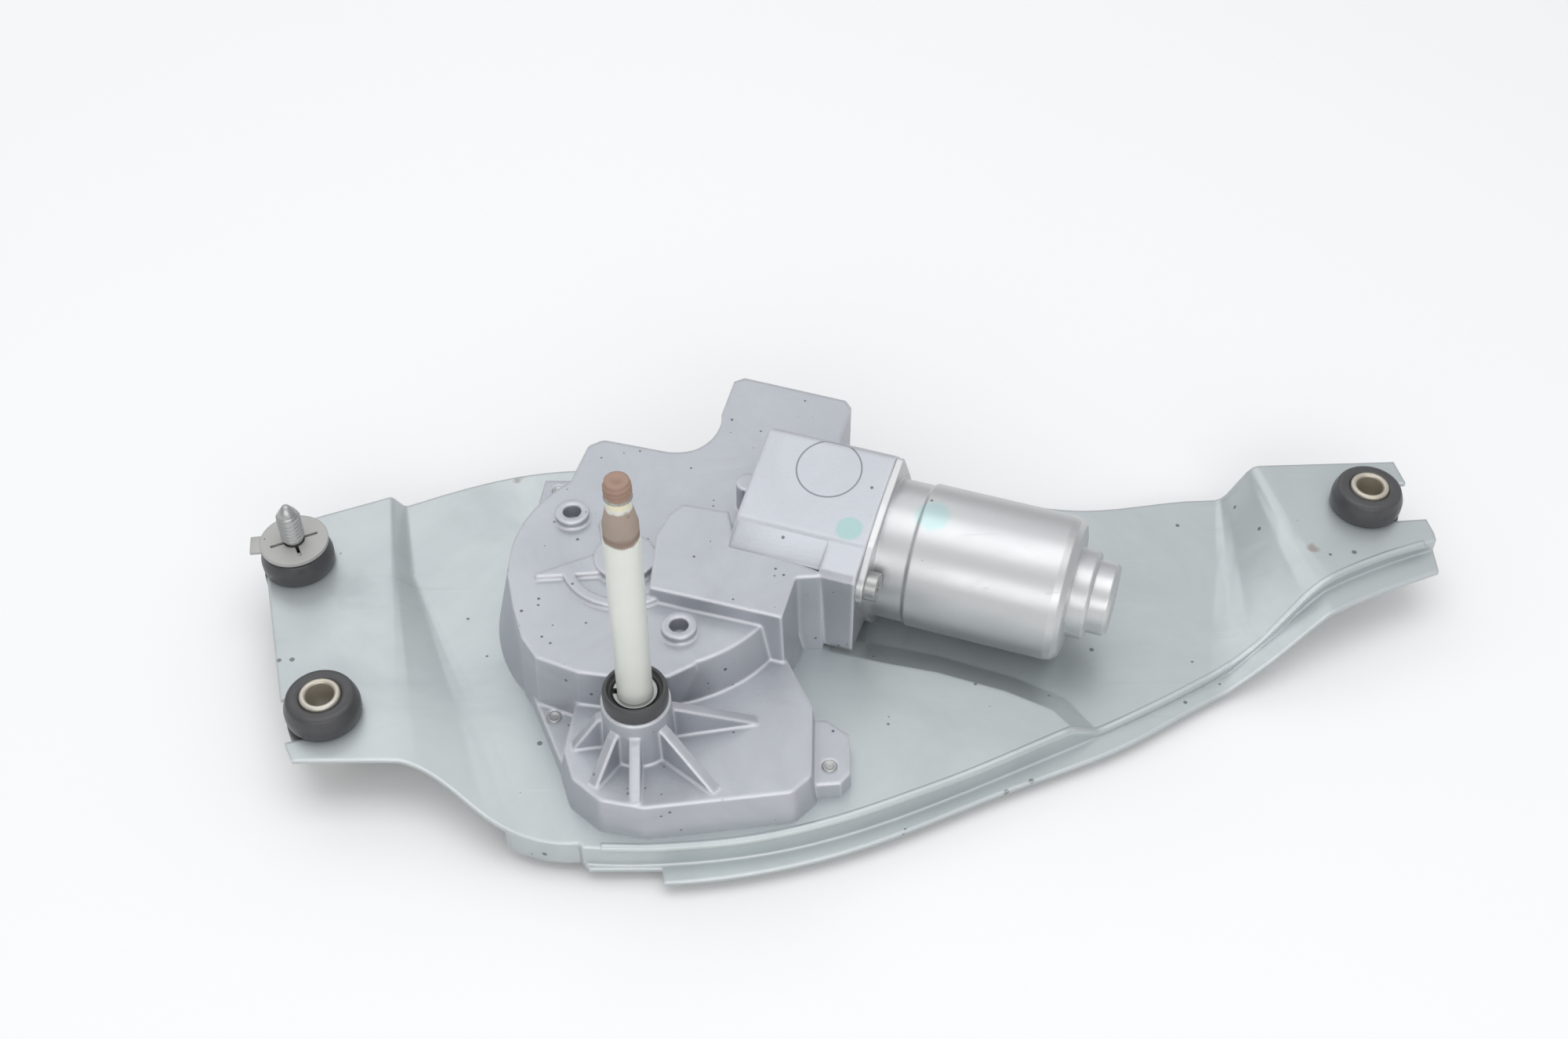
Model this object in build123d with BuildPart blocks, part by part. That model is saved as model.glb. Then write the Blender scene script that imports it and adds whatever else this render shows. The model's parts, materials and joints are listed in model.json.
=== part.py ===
from build123d import *
import math
import os

# A car's rear wiper motor on its pressed steel bracket, in millimetres.
# The output shaft is the Z axis, and z = 0 is the foot of its wiper arm thread.
# X runs along the bracket, and heights h are counted from the bracket's main face.

os.makedirs("parts", exist_ok=True)

# Main levels, as heights over the bracket's main face
face_z = -88.0
left_flange_h = 5.0
right_flange_h = 7.0
lip_h = -6.3
lip_right_h = 3.5
ear_h = 5.0
lobe_h = 10.0
dome_h = 20.8
box_h = 25.0
boss_h = 22.8
shaft_boss_h = 23.7
seal_h = 28.0
rest_h = -10.5

# Bracket
sheet = 1.2
opening_radius = 28.5

# Castings and covers
wall = 2.2
rim_wall = 2.2
cover_plate = 2.0
gasket = 0.6
tub_wall = 1.8
seat_gap = 0.3
running_gap = 0.05
can_clearance = 0.7

# Worm drive
tooth_module = 0.88
wheel_teeth = 60
wheel_thickness = 6.0
wheel_x, wheel_y = -4.0, 44.8
worm_pitch_radius = 4.6
crank_throw = 8.0
motor_turn = -18.5
motor_h = 13.3
flange_reach = 54.4
worm_tail = 25.1

# Output gearing
sector_module = 1.0
pinion_teeth = 16
sector_gear_teeth = 28
sector_angle = 12.0
gear_h = 2.9
gear_thickness = 3.2
link_thickness = 1.0

# Motor
can_radius = 17.9
can_wall = 1.5
can_length = 48.3
yoke_flange = 1.8
shaft_radius = 3.0
magnet_thickness = 3.0
air_gap = 0.7
armature_slots = 10

# Output shaft
shaft_od = 8.0
shaft_boss_radius = 7.5
bush_od = 11.0
thread_radius = 3.0

# Grommets and bushes
grommet_radius = 9.0
grommet_neck = 6.6
grommet_reach = 6.5
bush_radius = 4.8
bush_bore = 3.3
front_left = (-74.4, 11.0)
rear_left = (-88.5, 58.9)
right_side = (182.1, 77.2)

# Screws that hold the housing on the bracket
ear_hole = (43.4, -4.6)
screw_radius = 1.75

# Dome over the worm wheel
dome_x, dome_y, dome_radius = 1.0, 45.0, 38.4
dome_draft = 12.0

# Values worked out from the sizes above
recess_h = motor_h - can_radius - can_clearance
magnet_seat = can_radius - can_wall - seat_gap
armature_radius = magnet_seat - magnet_thickness - air_gap
tunnel_end = -flange_reach - worm_tail
tub_x, tub_y = wheel_x + 3, wheel_y + 2
wheel_radius = tooth_module * wheel_teeth / 2
centre_distance = wheel_radius + worm_pitch_radius
pinion_radius = sector_module * pinion_teeth / 2
sector_radius = sector_module * sector_gear_teeth / 2
holder_length = pinion_radius + sector_radius
sector_x = holder_length * math.cos(math.radians(sector_angle))
sector_y = holder_length * math.sin(math.radians(sector_angle))
wheel_low = motor_h - wheel_thickness / 2
wheel_high = motor_h + wheel_thickness / 2
turn = math.radians(motor_turn)
along = Vector(math.cos(turn), math.sin(turn), 0)
across = Vector(-math.sin(turn), math.cos(turn), 0)
bracket_screws = [ear_hole]
for angle, reach in ((-121.3, 3.0), (124.2, 8.8)):
    bracket_screws.append((dome_x + (dome_radius + reach) * math.cos(math.radians(angle)),
                           dome_y + (dome_radius + reach) * math.sin(math.radians(angle))))


def level(h):
    return Plane.XY.offset(face_z + h)


def motor_point(s, t=0.0, rise=0.0):
    foot = Vector(wheel_x, wheel_y, face_z + motor_h)
    return foot + along * (flange_reach + s) + across * (centre_distance + t) + Vector(0, 0, rise)


def cross_plane(s):
    return Plane(origin=motor_point(s), x_dir=across, z_dir=along)


def motor_plan(h):
    foot = motor_point(0)
    return Plane(origin=(foot.X, foot.Y, face_z + h), x_dir=along, z_dir=(0, 0, 1))


def finish(piece, name):
    piece.part.label = name
    export_step(piece.part, f"parts/{name}.step")


# Bracket sheet: a solid form under the pressed surface, less the same form one sheet lower
floor_h = -20.0
form_left, form_right, form_front, form_rear = -110.0, 215.0, -45.0, 125.0
main_end, right_start = 112.0, 40.0
ledge_dip = 0.6
ledge_turns = (137.0, 141.0, 167.0)
recess_top = [(44, 34), (56, 30.5), (70, 27.2), (86, 21.4), (97, 15.6), (104, 6), (104, -20)]
recess_foot = [(49, 42), (60, 39.5), (72, 36.4), (89, 30.0), (101, 23.4), (111, 9), (111, -20)]
recess_right, recess_rear = 130.0, 120.0
through = 60.0
notch_reach = 30.0
connector_notch = ((-78, -24), (-14, -34), (-14, 40), (-78, 40))
crease_rows = (-45.0, 15.0, 58.0, 100.0)
left_top_crease = (-48.5, -58.0, -65.0, -71.5)
left_low_crease = (-19.0, -41.5, -60.5, -69.5)
right_rows = (0.0, 44.0, 68.0, 100.0)
right_low_crease = (139.0, 144.4, 147.3, 150.0)
right_top_crease = (177.0, 166.5, 160.0, 154.0)
lip_line = [
    (-30, -19.6), (-10.7, -23.4), (6.7, -23.4), (33, -19.6), (67.3, -7.0), (98.9, 8.5),
    (116, 17.2), (137, 29.5), (150, 38.0), (165, 49.0), (180.6, 57.5), (205, 67.0),
]


def lip_points(inset):
    # the lip line, moved towards the rear by the inset, square to itself
    moved = []
    for i, (x, y) in enumerate(lip_line):
        before = lip_line[max(i - 1, 0)]
        after = lip_line[min(i + 1, len(lip_line) - 1)]
        run = math.dist(before, after)
        moved.append((x - inset * (after[1] - before[1]) / run, y + inset * (after[0] - before[0]) / run))
    return moved


def profile_loft(rows, corners_at):
    with BuildPart() as form:
        for row in rows:
            with BuildSketch(Plane.XZ.offset(-row)):
                with BuildLine():
                    Polyline(*corners_at(row), close=True)
                make_face()
        loft(ruled=True)
    return form.part


def ramp(start, end, from_z, to_z):
    # a sloped sheet that bends softly at both ends, as shares of its run and of its rise
    shares = ((-0.22, 0.0), (-0.02, 0.045), (0.18, 0.17), (0.82, 0.83), (1.02, 0.955), (1.22, 1.0))
    return [(start + (end - start) * run, from_z + (to_z - from_z) * rise) for run, rise in shares]


def left_profile(row):
    top = left_top_crease[crease_rows.index(row)]
    low = left_low_crease[crease_rows.index(row)]
    base, left, main = face_z + floor_h, face_z + left_flange_h, face_z
    return [(form_left, base), (form_left, left)] + ramp(top, low, left, main) + [(main_end, main), (main_end, base)]


def right_profile(row):
    low = right_low_crease[right_rows.index(row)]
    top = right_top_crease[right_rows.index(row)]
    base, recess, right = face_z + floor_h, face_z + recess_h, face_z + right_flange_h
    start = [(right_start, base), (right_start, recess)]
    return start + ramp(low, top, recess, right) + [(form_right, right), (form_right, base)]


def sheet_form(inset):
    left_form = profile_loft(crease_rows, left_profile)
    right_form = profile_loft(right_rows, right_profile)
    with BuildPart() as form:
        add(left_form)
        # the recess under the motor, with a sloped front side
        with BuildSketch(level(0)):
            with BuildLine():
                Polyline(*recess_top, (recess_right, recess_top[-1][1]), (recess_right, recess_rear),
                         (recess_top[0][0], recess_rear), close=True)
            make_face()
        with BuildSketch(level(recess_h)):
            with BuildLine():
                Polyline(*recess_foot, (recess_right, recess_foot[-1][1]), (recess_right, recess_rear),
                         (recess_foot[0][0], recess_rear), close=True)
            make_face()
        loft(ruled=True, mode=Mode.SUBTRACT)
        add(right_form)
        # only what lies behind the lip line keeps these levels
        with BuildSketch(level(floor_h)):
            with BuildLine():
                edge = Spline(*lip_points(inset))
                Polyline(edge @ 1, (lip_line[-1][0], form_rear), (form_left, form_rear), (form_left, form_front),
                         (lip_line[0][0], form_front), edge @ 0)
            make_face()
        extrude(amount=through, mode=Mode.INTERSECT)
    with BuildPart() as ledge:
        with BuildSketch(Plane.XZ.offset(-form_front)):
            with BuildLine():
                Polyline((lip_line[0][0], face_z + floor_h), (lip_line[0][0], face_z + lip_h),
                         (ledge_turns[0], face_z + lip_h - ledge_dip), (ledge_turns[1], face_z + lip_h - ledge_dip),
                         (ledge_turns[2], face_z + lip_right_h), (form_right, face_z + lip_right_h),
                         (form_right, face_z + floor_h), close=True)
            make_face()
        extrude(amount=form_front - form_rear)
        # the ledge lies in front of the lip line only
        with BuildSketch(level(floor_h)):
            with BuildLine():
                edge = Spline(*lip_points(inset))
                Polyline(edge @ 1, (lip_line[-1][0], form_front), (lip_line[0][0], form_front), edge @ 0)
            make_face()
        extrude(amount=through, mode=Mode.INTERSECT)
    with BuildPart() as whole:
        add(form.part)
        add(ledge.part)
    return whole.part


upper_form = sheet_form(0)
lower_form = Pos(0, 0, -sheet) * sheet_form(sheet)

with BuildPart() as mounting_bracket:
    add(upper_form)
    add(lower_form, mode=Mode.SUBTRACT)
    # outline of the pressed sheet
    with BuildSketch(level(floor_h)):
        with BuildLine():
            left_edge = Line((-99.5, 68.0), (-81.8, 1.0))
            front_left_edge = Polyline(left_edge @ 1, (-79.6, -3.0), (-55.0, -2.7))
            ramp_edge = Spline(front_left_edge @ 1, (-44, -8.0), (-34.3, -15.7), (-23.2, -21.2),
                               (-12.9, -22.2))
            ledge_start = Polyline(ramp_edge @ 1, (-10.7, -24.7), (5.6, -24.6), (6.2, -28.4))
            ledge_edge = Spline(ledge_start @ 1, (33, -24.3), (49, -19.4), (86, -2.6), (115.2, 10.7),
                                (136.8, 24.2), (152.9, 33.2), (165.5, 41.7), (181.5, 50.2), (197.3, 57.0))
            right_edge = Polyline(ledge_edge @ 1, (197.6, 67.0), (193.0, 92.7), (160.4, 91.4),
                                  (140.0, 90.3))
            rear_edge = Spline(right_edge @ 1, (126.6, 88.3), (112.0, 86.8), (95.0, 89.4), (66.0, 99.0),
                               tangents=((-1, -0.1), (-1, 0.5)))
            hidden_edge = Polyline(rear_edge @ 1, (54.0, 99.0), (-20.0, 96.5))
            Spline(hidden_edge @ 1, (-49.6, 90.3), (-72, 80.5), (-90, 73.0), left_edge @ 0)
        make_face()
    extrude(amount=through, mode=Mode.INTERSECT)
    # opening for the cover's tub, and on to the rear for the connector
    with BuildSketch(level(floor_h)):
        with Locations((tub_x, tub_y)):
            Circle(opening_radius)
        with BuildLine():
            Polyline(*[(motor_point(s, t).X, motor_point(s, t).Y) for s, t in connector_notch], close=True)
        make_face()
    extrude(amount=through, mode=Mode.SUBTRACT)
    # notches that take the grommets, open to the outer edges
    with BuildSketch(level(floor_h)):
        for (x, y), angle in ((front_left, 195), (rear_left, 165), (right_side, 5)):
            with Locations((x, y)):
                Circle(grommet_neck)
            with Locations(Location((x, y, 0), angle)):
                with Locations((notch_reach / 2, 0)):
                    Rectangle(notch_reach, 2 * grommet_neck)
    extrude(amount=through, mode=Mode.SUBTRACT)
    with BuildSketch(level(floor_h)):
        with Locations(*bracket_screws):
            Circle(screw_radius)
    extrude(amount=through, mode=Mode.SUBTRACT)
finish(mounting_bracket, "mounting_bracket")

# Gear housing: a die casting, solid outer form less the hollow for the gears
lobe_base = [
    (-18.3, -4.0), (-15.6, -12.5), (-8.5, -19.0), (2.0, -21.2), (35.5, -16.8), (40.6, -11.5),
    (41.0, 9.0), (33.0, 28.0), (-8.0, 30.0), (-16.0, 14.0),
]
hollow_radius = dome_radius - 5.2
hollow_shift = (-1.5, 0.5)
lobe_wall = 3.4
tunnel_radius = 9.2
lobe_draft, ear_draft, box_draft, deck_draft, boss_draft = 8.0, 3.0, 3.0, -6.0, 2.0
lobe_corner = 4.0
worm_bore = 5.7
front_bearing_radius = 5.5
end_bearing_radius = 4.5
block_start = -32.4
chamber_radius = 15.4
chamber_depth = 16.0
screw_bosses = [(-18.8, 59.3), (8.7, 22.6)]
boss_radius = 4.15
shaft_ribs = ((-90, 19.0), (-40, 24.0), (10, 28.0), (-125, 17.0), (-170, 15.5))
rib_half = 1.2
wheel_ribs = ((195, 21.9), (118, 14.0), (4, 13.5))
centre_boss = (wheel_x - 1.0, wheel_y - 0.3)
centre_boss_radius = 7.5
ring_outer, ring_inner, ring_rise = 15.5, 12.9, 1.2
pin_seat_radius = 6.5
boss_hole = 2.3
boss_hole_depth = 4.6
pad_gap = 0.5
block_low = 1.0
chamber_floor = 3.0
yoke_screw_length = 11.0
head_height = 2.8
ear_reach = 20.3
ear_radius = 4.6
lug_radius = can_radius + 0.1
flange_radius = can_radius + 1.3
foot_rise = 0.4
end_step = 9.0
half_boss_radius, half_boss_h = 3.0, 29.0
clear = 80.0
ear_rise = 7.2
yoke_ears = ((-ear_reach, ear_rise), (ear_reach, -ear_rise))
tongue_roof = 2.2
connector_left = -49.0
connector_right = -21.5
connector_front = 11.3
connector_rear = 38.6
deck_corners = [(-77.9, -20.0), (-40.0, -20.0), (-40.0, 9.0), (-52.5, 9.0), (-58.3, 6.9), (-76.2, 5.8), (-79.0, 2.6)]
tongue_edges = [(-66.0, 6.2), (-66.0, -4.0), (-17.0, -4.0), (-19.8, 37.3), (-22.0, 39.5), (-49.8, 39.5),
                (-52.0, 37.3), (-50.8, 24.0)]
tongue_curve = [(-50.8, 24.0), (-50.0, 15.4), (-52.9, 9.8), (-58.3, 7.0), (-66.0, 6.2)]


def lobe_outline(inset):
    with BuildSketch() as outline:
        with BuildLine():
            Polyline(*lobe_base, close=True)
        make_face()
        fillet(vertices(), lobe_corner)
        if inset:
            offset(amount=-inset, mode=Mode.REPLACE)
    return outline.sketch


with BuildPart() as gear_housing:
    # dome over the worm wheel
    with BuildSketch(level(0)):
        with Locations((dome_x, dome_y)):
            Circle(dome_radius)
    extrude(amount=dome_h, taper=dome_draft)
    # front lobe over the output gears
    with BuildSketch(level(0)):
        add(lobe_outline(0))
    extrude(amount=lobe_h, taper=lobe_draft)
    # shoulder that widens the dome towards the shaft
    with BuildSketch(level(0)):
        with BuildLine():
            Polyline((-34.4, 42), (-31.7, 30), (-28.7, 20.0), (-24.6, 13.6), (-14.4, 9.1), (-4, 7.5), (7, 7.7),
                     (14, 12.0), (14, 42), close=True)
        make_face()
    extrude(amount=dome_h, taper=ear_draft)
    # ears and the low skirt beside the lobe
    with BuildSketch(level(0)):
        with BuildLine():
            Polyline((-33.5, 35.0), (-26.8, 17.0), (-17.6, -5.2), (-10.0, -5.2), (-10.0, 35.0), close=True)
        make_face()
        with BuildLine():
            Polyline((36, -10.5), (46.0, -9.6), (48.4, -6.6), (48.4, 4.5), (43, 9.0), (36, 8.5), close=True)
        make_face()
        with BuildLine():
            Polyline((-30.5, 80.0), (-20.0, 68.0), (-12.0, 80.0), (-21.5, 88.0), (-29.5, 88.0), close=True)
        make_face()
    extrude(amount=ear_h, taper=ear_draft)
    # raised box that carries the ribs
    with BuildSketch(level(0)):
        with BuildLine():
            Polyline((0.2, 31.2), (33.4, 21.3), (36.8, 34.2), (42.4, 34.6), (43.5, 37.5), (22.5, 48.5),
                     (20.8, 58.0), (8.0, 61.0), (4.2, 57.0), (1.2, 49.8), close=True)
        make_face()
    extrude(amount=box_h, taper=box_draft)
    # motor block, whose top rises towards the rear
    with BuildSketch(cross_plane(block_start)):
        with BuildLine():
            Polyline((-21.6, block_low - motor_h), (-21.6, 25.2 - motor_h), (-15.5, 28.8 - motor_h),
                     (8.7, 35 - motor_h), (11.2, 33.4 - motor_h), (18.8, 24 - motor_h), (20, 18 - motor_h),
                     (20, block_low - motor_h), close=True)
        make_face()
    extrude(amount=-block_start)
    with BuildSketch(cross_plane(-end_step)):
        with BuildLine():
            Polyline((-25, block_low - motor_h), (-25, 24.8 - motor_h), (-23.6, 26.2 - motor_h),
                     (-10, 30 - motor_h), (-10, block_low - motor_h), close=True)
        make_face()
    extrude(amount=end_step)
    # half-round boss on the block's end, beside the deck
    with BuildSketch(motor_plan(0)):
        with Locations((block_start - 1.0, -4.5)):
            Circle(half_boss_radius)
    extrude(amount=half_boss_h)
    # lugs of the yoke's screws
    with BuildSketch(cross_plane(-yoke_screw_length - 2)):
        Circle(lug_radius)
        with Locations(*yoke_ears):
            Circle(ear_radius)
        make_hull()
        with Locations((0, block_low - motor_h - clear / 2)):
            Rectangle(clear, clear, mode=Mode.SUBTRACT)
    extrude(amount=yoke_screw_length + 2)
    # deck over the worm, behind the dome
    with BuildSketch(motor_plan(dome_h)):
        with BuildLine():
            Polyline(*deck_corners, close=True)
        make_face()
        fillet(vertices(), 2.5)
    extrude(amount=-dome_h, taper=deck_draft)
    # tongue over the connector, whose left side runs into the deck in a wide curve
    with BuildSketch(motor_plan(0)):
        with BuildLine():
            Polyline(*tongue_edges)
            Spline(*tongue_curve)
        make_face()
    extrude(amount=dome_h)
    # shaft boss and its ribs
    with BuildSketch(level(0)):
        Circle(shaft_boss_radius + 1.2)
    extrude(amount=shaft_boss_h, taper=boss_draft)
    for angle, reach in shaft_ribs:
        with BuildSketch(Plane((0, 0, 0), x_dir=(math.cos(math.radians(angle)), math.sin(math.radians(angle)), 0),
                               z_dir=(math.sin(math.radians(angle)), -math.cos(math.radians(angle)), 0))):
            with BuildLine():
                Polyline((5, face_z + 6), (5, face_z + shaft_boss_h - 2.5), (9.2, face_z + shaft_boss_h - 4.5),
                         (reach, face_z + lobe_h - 0.2), (reach, face_z + 6), close=True)
            make_face()
        extrude(amount=rib_half, both=True)
    # screw bosses and the wheel centre boss
    with BuildSketch(level(lobe_h)):
        with Locations(*screw_bosses):
            Circle(boss_radius)
        with Locations(centre_boss):
            Circle(centre_boss_radius)
    extrude(amount=boss_h - lobe_h)
    with BuildSketch(level(dome_h - 1)):
        with Locations(centre_boss):
            Circle(ring_outer)
            Circle(ring_inner, mode=Mode.SUBTRACT)
            with Locations((0, clear / 2 - 2)):
                Rectangle(clear, clear, mode=Mode.SUBTRACT)
            for angle, reach in wheel_ribs:
                with Locations(Location((0, 0, 0), angle)):
                    Polygon((5.0, -3.6), (reach, -0.5), (reach, 0.5), (5.0, 3.6), align=None)
    extrude(amount=ring_rise + 1)
    # room for the connector under the tongue, open to the rear
    with BuildSketch(motor_plan(0)):
        with Locations(((connector_left + connector_right) / 2, 30)):
            Rectangle(connector_right - connector_left + 2 * seat_gap, 2 * (30 - tunnel_radius - 1.8))
    extrude(amount=dome_h - tongue_roof, mode=Mode.SUBTRACT)
    # hollow of the lobe
    with BuildSketch(level(0)):
        add(lobe_outline(lobe_wall))
    extrude(amount=lobe_h - wall, mode=Mode.SUBTRACT)
    # hollow of the dome
    with BuildSketch(level(0)):
        with Locations((dome_x + hollow_shift[0], dome_y + hollow_shift[1])):
            Circle(hollow_radius)
    extrude(amount=dome_h - wall, taper=4, mode=Mode.SUBTRACT)
    # seat of the wheel's pin under the dome's roof, and pads over the screw bosses
    with BuildSketch(level(wheel_high + seat_gap)):
        with Locations((wheel_x, wheel_y)):
            Circle(pin_seat_radius)
    extrude(amount=dome_h - wheel_high - 1.0)
    with BuildSketch(level(wheel_high + pad_gap)):
        with Locations(*screw_bosses):
            Circle(boss_radius + 0.6)
    extrude(amount=dome_h - wheel_high - 1.0)
    with BuildSketch(level(0)):
        with Locations((wheel_x, wheel_y)):
            Circle(3.0)
    extrude(amount=boss_h - 1.5, mode=Mode.SUBTRACT)
    # recess of the cover's rim
    with BuildSketch(level(0)):
        with Locations((dome_x, dome_y)):
            Circle(dome_radius - rim_wall)
        add(lobe_outline(rim_wall))
    extrude(amount=cover_plate + gasket, mode=Mode.SUBTRACT)
    # bores: worm tunnel, brush chamber, bearings, output shaft
    with BuildSketch(cross_plane(tunnel_end + 8)):
        Circle(worm_bore)
    extrude(amount=block_start - tunnel_end - 8, mode=Mode.SUBTRACT)
    with BuildSketch(cross_plane(tunnel_end + 3)):
        Circle(end_bearing_radius)
    extrude(amount=6, mode=Mode.SUBTRACT)
    with BuildSketch(cross_plane(block_start - 1)):
        Circle(front_bearing_radius)
    extrude(amount=-block_start - chamber_depth + 2, mode=Mode.SUBTRACT)
    with BuildSketch(cross_plane(-chamber_depth)):
        Circle(chamber_radius)
        with Locations((0, chamber_floor - motor_h - 20)):
            Rectangle(60, 40, mode=Mode.SUBTRACT)
    extrude(amount=chamber_depth + 1, mode=Mode.SUBTRACT)
    with BuildSketch(cross_plane(0)):
        with Locations(*yoke_ears):
            Circle(screw_radius)
    extrude(amount=-yoke_screw_length - 0.5, mode=Mode.SUBTRACT)
    with BuildSketch(level(-1)):
        Circle(bush_od / 2)
    extrude(amount=shaft_boss_h + 2, mode=Mode.SUBTRACT)
    # blind screw holes of the bosses, and the holes of the bracket screws
    with BuildSketch(level(boss_h)):
        with Locations(*screw_bosses):
            Circle(boss_hole)
    extrude(amount=-boss_hole_depth, mode=Mode.SUBTRACT)
    with BuildSketch(level(0)):
        with Locations(*bracket_screws):
            Circle(screw_radius)
    extrude(amount=ear_h + 1, mode=Mode.SUBTRACT)
finish(gear_housing, "gear_housing")

# Bottom cover: a plate in the housing's rim, a tub through the bracket and the connector socket
tub_radius = opening_radius - 0.6
rim_play = 0.2
socket_wall = 1.8
socket_depth = 15.0
connector_low = -8.6
connector_high = dome_h - tongue_roof - seat_gap

pin_count = 4
with BuildPart() as connector_pins:
    with BuildSketch(motor_plan((connector_low + connector_high) / 2 - 0.4)):
        for i in range(pin_count):
            with Locations(((connector_left + connector_right) / 2 + 5 * (i - (pin_count - 1) / 2), 25.5)):
                Rectangle(2.4, 12)
    extrude(amount=0.8)
finish(connector_pins, "connector_pins")

with BuildPart() as bottom_cover:
    with BuildSketch(level(0)):
        with Locations((dome_x, dome_y)):
            Circle(dome_radius - rim_wall - rim_play)
        add(lobe_outline(rim_wall + rim_play))
    extrude(amount=cover_plate)
    with BuildSketch(level(rest_h)):
        with Locations((tub_x, tub_y)):
            Circle(tub_radius)
    extrude(amount=-rest_h)
    with BuildSketch(motor_plan(rest_h)):
        with Locations(((connector_left + connector_right) / 2, 0)):
            Rectangle(connector_right - connector_left, 2 * connector_front)
    extrude(amount=-rest_h - seat_gap)
    with BuildSketch(level(rest_h + tub_wall)):
        with Locations((tub_x, tub_y)):
            Circle(tub_radius - tub_wall)
    extrude(amount=-rest_h + cover_plate, mode=Mode.SUBTRACT)
finish(bottom_cover, "bottom_cover")

with BuildPart() as connector_shell:
    # connector block and its socket, which opens to the rear
    with BuildSketch(motor_plan(connector_low)):
        with Locations(((connector_left + connector_right) / 2, (connector_front + connector_rear) / 2)):
            RectangleRounded(connector_right - connector_left, connector_rear - connector_front, 1.5)
    extrude(amount=connector_high - connector_low)
    with BuildSketch(motor_plan(connector_low + socket_wall)):
        with Locations(((connector_left + connector_right) / 2, connector_rear - socket_depth / 2)):
            Rectangle(connector_right - connector_left - 2 * socket_wall, socket_depth + 0.01)
    extrude(amount=connector_high - connector_low - 2 * socket_wall, mode=Mode.SUBTRACT)
    add(connector_pins.part, mode=Mode.SUBTRACT)
finish(connector_shell, "connector_shell")

with BuildPart() as cover_gasket:
    with BuildSketch(level(cover_plate)):
        with Locations((dome_x, dome_y)):
            Circle(dome_radius - rim_wall - rim_play)
        add(lobe_outline(rim_wall + rim_play))
        with Locations((dome_x + hollow_shift[0], dome_y + hollow_shift[1])):
            Circle(hollow_radius, mode=Mode.SUBTRACT)
        add(lobe_outline(lobe_wall), mode=Mode.SUBTRACT)
    extrude(amount=gasket)
finish(cover_gasket, "cover_gasket")

board_h = rest_h + tub_wall
with BuildPart() as circuit_board:
    with BuildSketch(level(board_h)):
        with Locations((tub_x, tub_y)):
            Circle(tub_radius - tub_wall - 0.5)
        with Locations((tub_x, tub_y - 26)):
            Rectangle(80, 52, mode=Mode.SUBTRACT)
        with Locations((tub_x + 18, tub_y + 6), (tub_x - 18, tub_y + 6)):
            Circle(1.6, mode=Mode.SUBTRACT)
    extrude(amount=1.4)
finish(circuit_board, "circuit_board")

# Worm wheel body
contact_plate_thickness = 0.5
web_outer, web_inner, web_depth, web_ribs = 22.5, 7.0, 2.2, 6
pin_radius = 2.9
contact_outer, contact_inner = 22.0, 12.5
space_half_root = 0.42
space_half_tip = 0.98
worm_root = 3.4
worm_tip = 5.3
tip_radius = wheel_radius + tooth_module
root_radius = wheel_radius - 1.28 * tooth_module
lead = math.degrees(math.atan(tooth_module * math.pi / (2 * math.pi * worm_pitch_radius)))
flank_turn = math.degrees(wheel_thickness / 2 * math.tan(math.radians(lead)) / wheel_radius)

with BuildPart() as tooth_space:
    for h, side in ((wheel_low - 0.01, -1), (wheel_high + 0.01, 1)):
        with BuildSketch(Plane(origin=(wheel_x, wheel_y, face_z + h), x_dir=across.rotate(Axis.Z, side * flank_turn),
                               z_dir=(0, 0, 1))):
            with BuildLine():
                Polyline((root_radius, -space_half_root), (tip_radius + 0.4, -space_half_tip - 0.2),
                         (tip_radius + 0.4, space_half_tip + 0.2), (root_radius, space_half_root), close=True)
            make_face()
    loft(ruled=True)

wheel_plane = Plane(origin=(wheel_x, wheel_y, face_z + wheel_low))
with BuildPart() as worm_wheel:
    with BuildSketch(wheel_plane):
        Circle(tip_radius)
    extrude(amount=wheel_thickness)
    # thinner web between the rim and the hub, on the upper side
    with BuildSketch(wheel_plane.offset(wheel_thickness)):
        Circle(web_outer)
        Circle(web_inner, mode=Mode.SUBTRACT)
    extrude(amount=-web_depth, mode=Mode.SUBTRACT)
    with BuildSketch(wheel_plane.offset(wheel_thickness - web_depth)):
        for i in range(web_ribs):
            with Locations(Location((0, 0, 0), 360 / web_ribs * i + 15)):
                with Locations(((web_outer + web_inner) / 2, 0)):
                    Rectangle(web_outer - web_inner + 1.0, 1.6)
    extrude(amount=web_depth - 0.6)
    with BuildSketch(wheel_plane):
        Circle(pin_radius + running_gap)
    extrude(amount=wheel_thickness, mode=Mode.SUBTRACT)
    spaces = [
        tooth_space.part.rotate(Axis((wheel_x, wheel_y, 0), (0, 0, 1)), 360 / wheel_teeth * i)
        for i in range(wheel_teeth)
    ]
    add(spaces, mode=Mode.SUBTRACT)
finish(worm_wheel, "worm_wheel")

crank_angle = 152.0
crank_x = wheel_x + crank_throw * math.cos(math.radians(crank_angle))
crank_y = wheel_y + crank_throw * math.sin(math.radians(crank_angle))
link_high = gear_h + 2.5
with BuildPart() as contact_plate:
    with BuildSketch(wheel_plane):
        Circle(contact_outer)
        Circle(contact_inner, mode=Mode.SUBTRACT)
        with Locations(Location((0, 0, 0), 40)):
            with Locations((contact_outer - 2.2, 0)):
                Rectangle(4.5, 9, mode=Mode.SUBTRACT)
    extrude(amount=-contact_plate_thickness)
finish(contact_plate, "contact_plate")

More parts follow.
